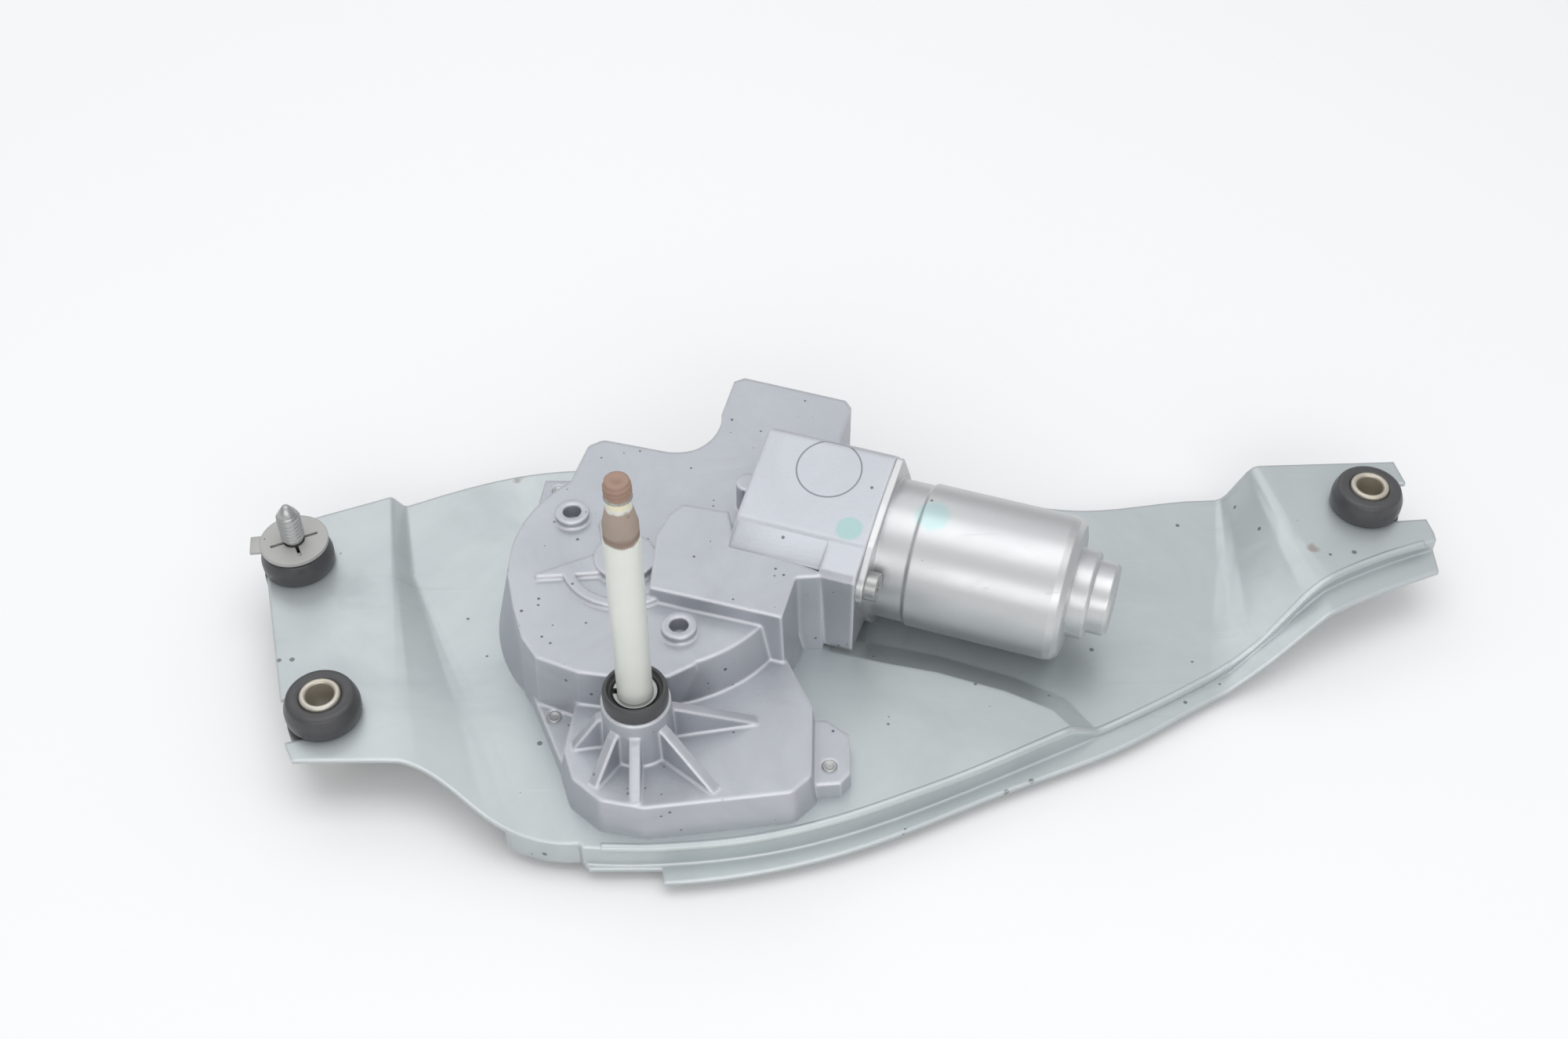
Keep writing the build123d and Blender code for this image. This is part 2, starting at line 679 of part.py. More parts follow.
with BuildPart() as crank_pin:
    with BuildSketch(level(link_high + seat_gap)):
        with Locations((crank_x, crank_y)):
            Circle(3.0)
    extrude(amount=wheel_low - link_high - seat_gap)
    with BuildSketch(level(wheel_low - 1.2)):
        with Locations((crank_x, crank_y)):
            Circle(3.4)
    extrude(amount=1.2)
    chamfer(faces().sort_by(Axis.Z)[0].edges(), 0.5)
finish(crank_pin, "crank_pin")

with BuildPart() as wheel_pin:
    with BuildSketch(level(wheel_low - 1.4)):
        with Locations((wheel_x, wheel_y)):
            Circle(pin_radius)
    extrude(amount=boss_h - 1.5 - wheel_low + 1.4)
    with BuildSketch(level(wheel_low - 1.4)):
        with Locations((wheel_x, wheel_y)):
            Circle(4.2)
    extrude(amount=1.4 - seat_gap)
finish(wheel_pin, "wheel_pin")

contact_high = wheel_low - contact_plate_thickness - seat_gap
with BuildPart() as contact_springs:
    for reach in (14.5, 17.5, 20.5):
        with BuildSketch(Plane(origin=(wheel_x, 0, face_z), x_dir=(0, 1, 0), z_dir=(1, 0, 0)).offset(reach - 15)):
            with BuildLine():
                Polyline((wheel_y + 12, board_h + 1.4), (wheel_y + 12, board_h + 1.9), (wheel_y + 11, contact_high),
                         (wheel_y + 15.5, contact_high), (wheel_y + 16, contact_high - 1.2),
                         (wheel_y + 15.5, contact_high - 1.2), (wheel_y + 15, contact_high - 0.5),
                         (wheel_y + 11.6, contact_high - 0.5), (wheel_y + 12.6, board_h + 1.9),
                         (wheel_y + 18, board_h + 1.9), (wheel_y + 18, board_h + 1.4), close=True)
            make_face()
        extrude(amount=1.8)
finish(contact_springs, "contact_springs")

# Output gears, holder and sector link
pinion_tooth = ((-0.95, -1.2), (-0.575, 0), (-0.3, 0.85), (0.3, 0.85), (0.575, 0), (0.95, -1.2))
shaft_low = gear_h - 0.5
with BuildPart() as output_pinion:
    with BuildSketch(level(gear_h)):
        Circle(pinion_radius - 1.1)
        for i in range(pinion_teeth):
            with Locations(Location((0, 0, 0), sector_angle + 360 / pinion_teeth * (i + 0.5))):
                Polygon(*[(pinion_radius + out, side) for side, out in pinion_tooth], align=None)
        Circle(shaft_od / 2, mode=Mode.SUBTRACT)
    extrude(amount=gear_thickness)
finish(output_pinion, "output_pinion")

sector_pin_radius = 2.6
sector_plane = Plane(origin=(sector_x, sector_y, face_z + gear_h))
link_reach = math.dist((sector_x, sector_y), (crank_x, crank_y))
link_angle = math.degrees(math.atan2(crank_y - sector_y, crank_x - sector_x))
sector_teeth = 6
with BuildPart() as sector_link:
    with BuildSketch(sector_plane):
        with BuildLine():
            start = sector_angle + 180 - 360 / sector_gear_teeth * (sector_teeth / 2 + 0.1)
            sweep_angle = 360 / sector_gear_teeth * (sector_teeth + 0.2)
            rim_arc = CenterArc((0, 0), sector_radius - 1.1, start, sweep_angle)
            Polyline(rim_arc @ 1, (0, 0), rim_arc @ 0)
        make_face()
        for i in range(sector_teeth):
            angle = sector_angle + 180 + 360 / sector_gear_teeth * (i + 0.5 - sector_teeth / 2)
            with Locations(Location((0, 0, 0), angle + 360 / sector_gear_teeth / 2)):
                Polygon(*[(sector_radius + out, side) for side, out in pinion_tooth], align=None)
        Circle(6.2)
        Circle(sector_pin_radius + running_gap, mode=Mode.SUBTRACT)
    extrude(amount=gear_thickness)
    with BuildSketch(sector_plane):
        with Locations(Location((0, 0, 0), link_angle)):
            with Locations((link_reach / 2, 0)):
                Rectangle(link_reach, 6.4)
            with Locations((link_reach, 0)):
                Circle(5.4)
        Circle(sector_pin_radius + running_gap, mode=Mode.SUBTRACT)
    extrude(amount=link_high - gear_h)
    # hole of the link's eye, which takes the crank pin
    with BuildSketch(sector_plane):
        with Locations(Location((0, 0, 0), link_angle)):
            with Locations((link_reach, 0)):
                Circle(3.1)
    extrude(amount=gear_thickness, mode=Mode.SUBTRACT)
finish(sector_link, "sector_link")

holder_h = gear_h + gear_thickness + 0.2
with BuildPart() as holder_link:
    with BuildSketch(level(holder_h)):
        with Locations(Location((0, 0, 0), sector_angle)):
            with Locations((holder_length / 2, 0)):
                SlotCenterToCenter(holder_length, 11)
            with Locations((holder_length, 0)):
                Circle(sector_pin_radius, mode=Mode.SUBTRACT)
        Circle(shaft_od / 2 + running_gap, mode=Mode.SUBTRACT)
    extrude(amount=link_thickness)
finish(holder_link, "holder_link")

with BuildPart() as sector_pin:
    with BuildSketch(level(gear_h - 0.2)):
        with Locations((sector_x, sector_y)):
            Circle(sector_pin_radius)
    extrude(amount=gear_thickness + 0.4 + link_thickness)
    chamfer(edges().group_by(Axis.Z)[0], 0.3)
finish(sector_pin, "sector_pin")

# Output shaft with its knurled band, cone, neck and arm thread
band_low, band_high, cone_high, thread_low, thread_high = 76.1, 80.5, 85.3, 88.0, 92.5
shaft_axial = Plane(origin=(0, 0, face_z), x_dir=(1, 0, 0), z_dir=(0, -1, 0))
with BuildPart() as output_shaft:
    with BuildSketch(shaft_axial):
        with BuildLine():
            Polyline((0, shaft_low), (shaft_od / 2 - 0.4, shaft_low), (shaft_od / 2, shaft_low + 0.4),
                     (shaft_od / 2, band_low), (shaft_od / 2 - 0.2, band_low), (shaft_od / 2 - 0.2, band_high),
                     (2.8, cone_high), (2.4, cone_high + 0.4), (2.4, thread_low), (thread_radius, thread_low),
                     (thread_radius, thread_high - 0.5), (thread_radius - 0.5, thread_high), (0, thread_high),
                     close=True)
        make_face()
    revolve(axis=Axis.Z)
finish(output_shaft, "output_shaft")

lower_bush_low = lobe_h - wall + seat_gap
with BuildPart() as shaft_bush_lower:
    with BuildSketch(level(lower_bush_low)):
        Circle(bush_od / 2)
        Circle(shaft_od / 2 + running_gap, mode=Mode.SUBTRACT)
    extrude(amount=5.5)
finish(shaft_bush_lower, "shaft_bush_lower")

with BuildPart() as shaft_bush_upper:
    with BuildSketch(level(shaft_boss_h - 6.5)):
        Circle(bush_od / 2)
        Circle(shaft_od / 2 + running_gap, mode=Mode.SUBTRACT)
    extrude(amount=6.5)
finish(shaft_bush_upper, "shaft_bush_upper")

with BuildPart() as thrust_washer:
    with BuildSketch(level(holder_h + link_thickness + 0.15)):
        Circle(bush_od / 2 - 0.2)
        Circle(shaft_od / 2 + running_gap, mode=Mode.SUBTRACT)
    extrude(amount=lower_bush_low - holder_h - link_thickness - 0.15 - 0.15)
finish(thrust_washer, "thrust_washer")

shaft_line = Axis((0, 0, 0), (0, 0, 1))
with BuildPart() as shaft_seal:
    with BuildSketch(shaft_axial):
        with BuildLine():
            Polyline((6.6, shaft_boss_h), (7.4, shaft_boss_h + 0.3), (7.4, seal_h - 0.9), (7.0, seal_h), (6.3, seal_h),
                     (6.1, seal_h - 1.1), (5.4, seal_h - 1.3), (5.2, seal_h - 2.2), (4.4, seal_h - 2.4),
                     (4.4, shaft_boss_h + 1.1), (5.4, shaft_boss_h + 0.9), (5.6, shaft_boss_h), close=True)
        make_face()
    revolve(axis=shaft_line)
finish(shaft_seal, "shaft_seal")

with BuildPart() as retaining_ring:
    with BuildSketch(level(seal_h - 2.1)):
        Circle(5.0)
        Circle(shaft_od / 2, mode=Mode.SUBTRACT)
        with Locations((-4.6, 0)):
            Rectangle(3, 1.6, mode=Mode.SUBTRACT)
    extrude(amount=0.8)
finish(retaining_ring, "retaining_ring")

# Motor: yoke, magnets, armature and brush gear, all on the motor's axis
motor_axis = Axis(motor_point(0), along)
axial = Plane(origin=motor_point(0), x_dir=along, z_dir=-across)
shoulder_radius, shoulder_length = 11.0, 4.6
end_radius, end_length = 9.0, 5.0
can_end = can_length + shoulder_length + end_length
corner = 3.5

with BuildPart() as motor_yoke:
    with BuildSketch(axial):
        with BuildLine():
            Polyline((0, 0), (0, can_radius - 0.6), (9.5, can_radius - 0.6), (10.4, can_radius),
                     (can_length - corner, can_radius), (can_length - 0.5 * corner, can_radius - 0.13 * corner),
                     (can_length - 0.13 * corner, can_radius - 0.5 * corner), (can_length, can_radius - corner),
                     (can_length, shoulder_radius), (can_length + shoulder_length - 0.7, shoulder_radius),
                     (can_length + shoulder_length, shoulder_radius - 0.7),
                     (can_length + shoulder_length, end_radius), (can_end - 0.8, end_radius),
                     (can_end, end_radius - 0.8), (can_end, 0), close=True)
        make_face()
    revolve(axis=motor_axis)
    # flange with the two screw ears, cut flat over the bracket
    with BuildSketch(cross_plane(0)):
        Circle(flange_radius)
        with Locations(*yoke_ears):
            Circle(ear_radius)
        with Locations((9.0, 33.5 - motor_h), (-15.0, 27.4 - motor_h)):
            Circle(1.2)
        make_hull()
        with Locations((0, -can_radius + foot_rise - clear / 2)):
            Rectangle(clear, clear, mode=Mode.SUBTRACT)
    extrude(amount=yoke_flange)
    with BuildSketch(cross_plane(0)):
        with Locations(*yoke_ears):
            Circle(screw_radius + 0.2)
    extrude(amount=yoke_flange, mode=Mode.SUBTRACT)
    # inside of the can, and the seat of the rear bearing
    with BuildSketch(axial):
        with BuildLine():
            Polyline((0, 0), (0, magnet_seat), (can_length - can_wall, magnet_seat),
                     (can_length - can_wall, shoulder_radius - can_wall),
                     (can_length + shoulder_length - can_wall, shoulder_radius - can_wall),
                     (can_length + shoulder_length - can_wall, end_radius - can_wall),
                     (can_end - can_wall, end_radius - can_wall), (can_end - can_wall, 0), close=True)
        make_face()
    revolve(axis=motor_axis, mode=Mode.SUBTRACT)
finish(motor_yoke, "motor_yoke")

with BuildPart() as yoke_screws:
    with BuildSketch(cross_plane(yoke_flange)):
        with Locations(*yoke_ears):
            Circle(2 * screw_radius)
    extrude(amount=head_height)
    with BuildSketch(cross_plane(yoke_flange)):
        with Locations(*yoke_ears):
            Circle(screw_radius)
    extrude(amount=-yoke_screw_length)
    # cross recesses in the heads
    with BuildSketch(cross_plane(yoke_flange + head_height)):
        with Locations(*yoke_ears):
            Rectangle(4.2, 0.9)
            Rectangle(0.9, 4.2)
    extrude(amount=-1.4, mode=Mode.SUBTRACT)
finish(yoke_screws, "yoke_screws")

magnet_start, magnet_end = 9.0, can_length - 4.3
with BuildPart() as magnets:
    with BuildSketch(cross_plane(magnet_start)):
        Circle(magnet_seat)
        Circle(magnet_seat - magnet_thickness, mode=Mode.SUBTRACT)
        Rectangle(40, 14, mode=Mode.SUBTRACT)
    extrude(amount=magnet_end - magnet_start)
finish(magnets, "magnets")

core_start, core_end = 13.0, can_length - 10.3
with BuildPart() as armature_core:
    with BuildSketch(cross_plane(core_start)):
        Circle(armature_radius)
        with PolarLocations(armature_radius - 3.4, armature_slots):
            RectangleRounded(6.4, 2.8, 1.2, mode=Mode.SUBTRACT)
        with PolarLocations(armature_radius, armature_slots):
            Rectangle(2.4, 1.4, mode=Mode.SUBTRACT)
        Circle(shaft_radius, mode=Mode.SUBTRACT)
    extrude(amount=core_end - core_start)
finish(armature_core, "armature_core")

winding_bulge = 5.0
with BuildPart() as armature_windings:
    for start in (core_start - winding_bulge, core_end):
        with BuildSketch(axial):
            with Locations((start, shaft_radius + 4.9)):
                Polygon((0, -3.5), (winding_bulge, -3.5), (winding_bulge, 1.8), (winding_bulge - 1.5, 3.5), (1.5, 3.5),
                        (0, 1.8), align=None)
        revolve(axis=motor_axis)
    with BuildSketch(cross_plane(core_start)):
        with PolarLocations(armature_radius - 3.4, armature_slots):
            RectangleRounded(5.8, 2.2, 1.0)
    extrude(amount=core_end - core_start)
finish(armature_windings, "armature_windings")

commutator_start, commutator_end, commutator_radius = -11.0, 4.0, 5.4
with BuildPart() as commutator:
    with BuildSketch(cross_plane(commutator_start)):
        Circle(commutator_radius)
        with PolarLocations(commutator_radius, armature_slots):
            Rectangle(1.6, 0.5, mode=Mode.SUBTRACT)
        Circle(shaft_radius, mode=Mode.SUBTRACT)
    extrude(amount=commutator_end - commutator_start)
    with BuildSketch(cross_plane(commutator_end)):
        Circle(commutator_radius + 0.9)
        with PolarLocations(commutator_radius + 1, armature_slots):
            Rectangle(2.6, 0.5, mode=Mode.SUBTRACT)
        Circle(shaft_radius, mode=Mode.SUBTRACT)
    extrude(amount=1.5)
finish(commutator, "commutator")

# the worm's thread passes the wheel's space at the foot of the centre line
axial_pitch = math.pi * tooth_module
worm_turns = 6
worm_half = axial_pitch * worm_turns / 2
shaft_start, shaft_end = tunnel_end + 5.2, can_end - can_wall - 1.0
thread_start = Plane(origin=motor_point(-flange_reach - worm_half), x_dir=-across, z_dir=along)
thread_path = thread_start.location * Helix(axial_pitch, axial_pitch * worm_turns, worm_root - 0.2)
with BuildPart() as armature_shaft:
    with BuildSketch(cross_plane(shaft_start)):
        Circle(shaft_radius)
    extrude(amount=shaft_end - shaft_start)
    with BuildSketch(cross_plane(-flange_reach - worm_half - 1.5)):
        Circle(worm_root)
    extrude(amount=2 * worm_half + 3.0)
    with BuildSketch(Plane(origin=thread_path @ 0, x_dir=-across, z_dir=thread_path % 0)):
        with BuildLine():
            Polyline((0, -0.75), (worm_tip - worm_root + 0.2, -0.3), (worm_tip - worm_root + 0.2, 0.3), (0, 0.75),
                     close=True)
        make_face()
    sweep(path=thread_path, is_frenet=True)
finish(armature_shaft, "armature_shaft")

with BuildPart() as brush_holder:
    with BuildSketch(cross_plane(-chamber_depth + 0.4)):
        Circle(chamber_radius - 0.2)
        Circle(commutator_radius + 1.0, mode=Mode.SUBTRACT)
        with Locations((0, chamber_floor + 0.3 - motor_h - 20)):
            Rectangle(60, 40, mode=Mode.SUBTRACT)
    extrude(amount=2.0)
    with BuildSketch(cross_plane(-chamber_depth + 2.4)):
        for side in (-1, 1):
            with Locations((side * 10.6, 0)):
                Rectangle(7.2, 6.6)
                Rectangle(7.2, 4.2, mode=Mode.SUBTRACT)
    extrude(amount=6.0)
finish(brush_holder, "brush_holder")

brush_start = -chamber_depth + 2.6
with BuildPart() as carbon_brushes:
    with BuildSketch(cross_plane(brush_start)):
        for side in (-1, 1):
            with Locations((side * (commutator_radius + seat_gap + 2.5), 0)):
                Rectangle(5.0, 4.0)
    extrude(amount=5.0)
finish(carbon_brushes, "carbon_brushes")

with BuildPart() as brush_springs:
    for side in (-1, 1):
        with BuildSketch(Plane(origin=motor_point(brush_start + 2.5), x_dir=along, z_dir=across * side)
                         .offset(commutator_radius + seat_gap + 5.0)):
            Circle(1.6)
            Circle(1.1, mode=Mode.SUBTRACT)
        extrude(amount=3.4)
finish(brush_springs, "brush_springs")


def bearing(start, length, outer):
    with BuildPart() as ring:
        with BuildSketch(cross_plane(start)):
            Circle(outer)
            Circle(shaft_radius + running_gap, mode=Mode.SUBTRACT)
        extrude(amount=length)
        chamfer(edges().filter_by(GeomType.CIRCLE).group_by(SortBy.RADIUS)[-1], 0.4)
    return ring


front_bearing = bearing(-chamber_depth - 8.0, 7.0, front_bearing_radius)
finish(front_bearing, "front_bearing")
end_bearing = bearing(tunnel_end + 3.6, 5.0, end_bearing_radius)
finish(end_bearing, "end_bearing")
rear_bearing = bearing(can_length + shoulder_length - can_wall + 0.3, 4.5, end_radius - can_wall)
finish(rear_bearing, "rear_bearing")

with BuildPart() as thrust_ball:
    with Locations(motor_point(shaft_start - 1.1)):
        Sphere(1.0)
finish(thrust_ball, "thrust_ball")

# Grommets, bushes, and the captive bolt with its slit washer
grommet_levels = (("front_left", front_left, left_flange_h), ("rear_left", rear_left, left_flange_h),
                  ("right", right_side, right_flange_h))
for place, (x, y), h in grommet_levels:
    mid = h - sheet / 2
    edge_plane = Plane(origin=(x, y, face_z + mid), x_dir=(1, 0, 0), z_dir=(0, -1, 0))
    with BuildPart() as grommet:
        with BuildSketch(edge_plane):
            with BuildLine():
                half = grommet_reach + sheet / 2
                Polyline((bush_radius, -half), (grommet_radius - 1.2, -half), (grommet_radius, -half + 1.6),
                         (grommet_radius, -sheet / 2 - 0.1), (grommet_neck - 0.1, -sheet / 2 - 0.1),
                         (grommet_neck - 0.1, sheet / 2 + 0.1), (grommet_radius, sheet / 2 + 0.1),
                         (grommet_radius, half - 1.6), (grommet_radius - 1.2, half), (bush_radius, half), close=True)
            make_face()
        revolve(axis=Axis((x, y, 0), (0, 0, 1)))
    finish(grommet, f"grommet_{place}")
    with BuildPart() as bush:
        with BuildSketch(edge_plane):
            with BuildLine():
                Polyline((bush_bore, -half - 0.6), (bush_radius - 0.3, -half - 0.6), (bush_radius, -half - 0.3),
                         (bush_radius, half + 0.3), (bush_radius - 0.5, half + 0.6), (bush_bore + 0.4, half + 0.6),
                         (bush_bore, half + 0.3), close=True)
            make_face()
        revolve(axis=Axis((x, y, 0), (0, 0, 1)))
    finish(bush, f"bush_{place}")

washer_h = left_flange_h + grommet_reach + 0.6
stud_tip = 25.0
stud_foot = washer_h + 1.4
shank_radius = 2.6
with BuildPart() as mounting_bolt:
    with BuildSketch(level(washer_h - 2 * grommet_reach - sheet - 1.2)):
        with Locations(rear_left):
            RegularPolygon(5.2, 6)
    extrude(amount=-4.0)
    with BuildSketch(level(washer_h - 2 * grommet_reach - sheet - 1.2)):
        with Locations(rear_left):
            Circle(7.0)
    extrude(amount=-1.0)
    with BuildSketch(Plane(origin=(*rear_left, face_z), x_dir=(1, 0, 0), z_dir=(0, -1, 0))):
        with BuildLine():
            foot = washer_h - 2 * grommet_reach - sheet - 1.2
            Polyline((0, foot), (shank_radius, foot), (shank_radius, stud_foot), (thread_radius, stud_foot),
                     (thread_radius, stud_tip - 2.6), (1.0, stud_tip), (0, stud_tip), close=True)
        make_face()
    revolve(axis=Axis((*rear_left, 0), (0, 0, 1)))
finish(mounting_bolt, "mounting_bolt")

with BuildPart() as retaining_washer:
    with BuildSketch(level(washer_h)):
        with Locations(rear_left):
            Circle(8.4)
            Circle(shank_radius, mode=Mode.SUBTRACT)
            with PolarLocations(4.2, 4, start_angle=25):
                Rectangle(3.4, 0.8, mode=Mode.SUBTRACT)
    extrude(amount=1.0)
finish(retaining_washer, "retaining_washer")

with BuildPart() as housing_screws:
    with BuildSketch(level(-sheet)):
        with Locations(*bracket_screws):
            Circle(3.6)
    extrude(amount=-2.6)
    with BuildSketch(level(-sheet)):
        with Locations(*bracket_screws):
            Circle(screw_radius)
    extrude(amount=sheet + ear_h)
    with BuildSketch(level(-sheet - 2.6)):
        with Locations(*bracket_screws):
            Rectangle(4.4, 0.9)
            Rectangle(0.9, 4.4)
    extrude(amount=1.4, mode=Mode.SUBTRACT)
finish(housing_screws, "housing_screws")
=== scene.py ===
# %% [markdown]
# # A rear wiper motor on its bracket
# The construction model arrives as a fixed frame of named nodes in metres.
# This lesson dresses those nodes: it gives each metal, rubber and plastic its own procedural
# finish, adds the small pieces that belong to the looks, and sets up the studio.

# %% The frame
import json
import math

import bmesh
import bpy
from mathutils import Matrix, Vector
from mathutils.bvhtree import BVHTree


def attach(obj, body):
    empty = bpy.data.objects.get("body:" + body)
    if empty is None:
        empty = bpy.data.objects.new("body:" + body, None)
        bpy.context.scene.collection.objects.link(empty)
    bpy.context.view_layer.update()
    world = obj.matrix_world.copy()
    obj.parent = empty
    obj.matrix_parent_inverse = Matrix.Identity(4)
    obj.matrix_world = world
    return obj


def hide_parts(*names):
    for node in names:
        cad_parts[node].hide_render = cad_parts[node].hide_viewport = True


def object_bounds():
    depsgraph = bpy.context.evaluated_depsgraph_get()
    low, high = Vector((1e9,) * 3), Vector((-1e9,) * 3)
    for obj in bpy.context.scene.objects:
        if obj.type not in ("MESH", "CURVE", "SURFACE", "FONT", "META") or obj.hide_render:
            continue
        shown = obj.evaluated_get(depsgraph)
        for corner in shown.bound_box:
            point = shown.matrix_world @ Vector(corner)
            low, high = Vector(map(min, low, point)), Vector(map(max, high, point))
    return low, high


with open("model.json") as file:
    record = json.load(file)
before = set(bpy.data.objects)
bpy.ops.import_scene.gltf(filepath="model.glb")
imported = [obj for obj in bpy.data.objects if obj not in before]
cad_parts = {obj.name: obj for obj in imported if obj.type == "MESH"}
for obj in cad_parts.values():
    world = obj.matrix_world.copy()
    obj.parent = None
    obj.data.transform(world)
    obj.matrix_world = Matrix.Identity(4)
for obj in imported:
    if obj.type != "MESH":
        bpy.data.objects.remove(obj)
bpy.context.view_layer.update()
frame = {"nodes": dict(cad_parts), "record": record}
nodes = frame["nodes"]
MM = 0.001

# %% [markdown]
# ## Levels and places
# The origin is the foot of the wiper arm thread, on the output shaft. The bracket's main face
# lies 88 mm under it. Heights are counted from that face, as a fitter would measure them, so
# one helper turns plan millimetres and such a height into a point in metres.

# %% Levels and places
FACE_Z = -88.0
TABLE_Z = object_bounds()[0][2]


def at_height(x, y, h):
    """A point in metres from plan millimetres and a height over the bracket's main face."""
    return Vector((x * MM, y * MM, (FACE_Z + h) * MM))


print("table at", TABLE_Z)

# %% [markdown]
# ## Shared effects
# Real metal is never one flat colour. Three effects come back in every finish here: soft
# blotches, fine specks, and worn edges with a painted highlight. Three more lay single marks:
# a round patch, a band between two heights, and long scratches. Each is a node group with
# named inputs, so that every material sets its own amount and the recipe is written once.

# %% Helpers for node groups
def new_group(name, inputs, outputs):
    """An empty shader group with named sockets, and its two end nodes."""
    group = bpy.data.node_groups.new(name, "ShaderNodeTree")
    for label, kind, default in inputs:
        socket = group.interface.new_socket(label, in_out="INPUT", socket_type=kind)
        if default is not None:
            socket.default_value = default
    for label, kind in outputs:
        group.interface.new_socket(label, in_out="OUTPUT", socket_type=kind)
    start = group.nodes.new("NodeGroupInput")
    end = group.nodes.new("NodeGroupOutput")
    print("group", name, "with inputs", [label for label, _, _ in inputs])
    return group, start, end


def math_node(tree, operation, a, b, clamp=False):
    """A Math node fed by sockets or numbers, and its result socket."""
    node = tree.nodes.new("ShaderNodeMath")
    node.operation = operation
    node.use_clamp = clamp
    for socket, value in zip(node.inputs, (a, b)):
        if isinstance(value, (int, float)):
            socket.default_value = value
        else:
            tree.links.new(value, socket)
    return node.outputs[0]


def mix_colour(tree, factor, a, b):
    """A colour between a and b, by a factor socket."""
    node = tree.nodes.new("ShaderNodeMix")
    node.data_type = "RGBA"
    share, colour_a, colour_b = node.inputs[0], node.inputs[6], node.inputs[7]
    for socket, value in ((share, factor), (colour_a, a), (colour_b, b)):
        if hasattr(value, "node"):
            tree.links.new(value, socket)
        else:
            socket.default_value = value
    return node.outputs[2]


def object_place(tree):
    """The point on the object itself, so that a pattern keeps its real size."""
    return tree.nodes.new("ShaderNodeTexCoord").outputs["Object"]


def noise_node(tree, vector, **values):
    """A noise texture at a point, with the named inputs set."""
    node = tree.nodes.new("ShaderNodeTexNoise")
    tree.links.new(vector, node.inputs["Vector"])
    for label, value in values.items():
        node.inputs[label.capitalize()].default_value = value
    return node


# %% The blotch group: a soft mottling of the surface
blotch_group, start, end = new_group(
    "soft blotches",
    [("Size", "NodeSocketFloat", 60.0), ("Stretch", "NodeSocketFloat", 1.0), ("Contrast", "NodeSocketFloat", 1.0)],
    [("Mask", "NodeSocketFloat")],
)
tree = blotch_group
noise = noise_node(tree, object_place(tree), detail=6.0, roughness=0.62)
tree.links.new(start.outputs["Size"], noise.inputs["Scale"])
tree.links.new(start.outputs["Stretch"], noise.inputs["Distortion"])
centred = math_node(tree, "SUBTRACT", noise.outputs["Fac"], 0.5)
scaled = math_node(tree, "MULTIPLY", centred, start.outputs["Contrast"])
tree.links.new(math_node(tree, "ADD", scaled, 0.5, clamp=True), end.inputs["Mask"])

# %% The speck group: small separate spots of dirt or pitting
LARGEST_SPECK = 0.26
speck_group, start, end = new_group(
    "fine specks",
    [("Density", "NodeSocketFloat", 400.0), ("Amount", "NodeSocketFloat", 0.2), ("Edge", "NodeSocketFloat", 0.05)],
    [("Mask", "NodeSocketFloat")],
)
tree = speck_group
cells = tree.nodes.new("ShaderNodeTexVoronoi")
cells.feature = "F1"
tree.links.new(object_place(tree), cells.inputs["Vector"])
tree.links.new(start.outputs["Density"], cells.inputs["Scale"])
chosen = tree.nodes.new("ShaderNodeSeparateColor")
tree.links.new(cells.outputs["Color"], chosen.inputs["Color"])
picked = math_node(tree, "LESS_THAN", chosen.outputs["Red"], start.outputs["Amount"])
reach = math_node(tree, "MULTIPLY", chosen.outputs["Green"], LARGEST_SPECK)
inside = math_node(tree, "SUBTRACT", reach, cells.outputs["Distance"])
soft = math_node(tree, "DIVIDE", inside, start.outputs["Edge"], clamp=True)
tree.links.new(math_node(tree, "MULTIPLY", soft, picked), end.inputs["Mask"])

# %% The edge group: convex edges for wear and a painted highlight, found by comparing a rounded normal with the true one
wear_highlight_group, start, end = new_group(
    "edge wear and painted highlight",
    [("Width", "NodeSocketFloat", 0.0006), ("Strength", "NodeSocketFloat", 3.0)],
    [("Mask", "NodeSocketFloat"), ("Normal", "NodeSocketVector")],
)
tree = wear_highlight_group
bevel = tree.nodes.new("ShaderNodeBevel")
bevel.samples = 6
tree.links.new(start.outputs["Width"], bevel.inputs["Radius"])
geometry = tree.nodes.new("ShaderNodeNewGeometry")
likeness = tree.nodes.new("ShaderNodeVectorMath")
likeness.operation = "DOT_PRODUCT"
tree.links.new(bevel.outputs["Normal"], likeness.inputs[0])
tree.links.new(geometry.outputs["Normal"], likeness.inputs[1])
away = math_node(tree, "SUBTRACT", 1.0, likeness.outputs["Value"])
# This mask paints wear and a highlight on convex edges.
wear_and_highlight = math_node(tree, "MULTIPLY", away, start.outputs["Strength"], clamp=True)
tree.links.new(wear_and_highlight, end.inputs["Mask"])
tree.links.new(bevel.outputs["Normal"], end.inputs["Normal"])


# %% A helper for uneven rims
def uneven_by(tree, place, scale, wobble):
    """A small plus or minus amount that wanders along the surface."""
    noise = noise_node(tree, place, scale=scale)
    return math_node(tree, "MULTIPLY", math_node(tree, "SUBTRACT", noise.outputs["Fac"], 0.5), wobble)


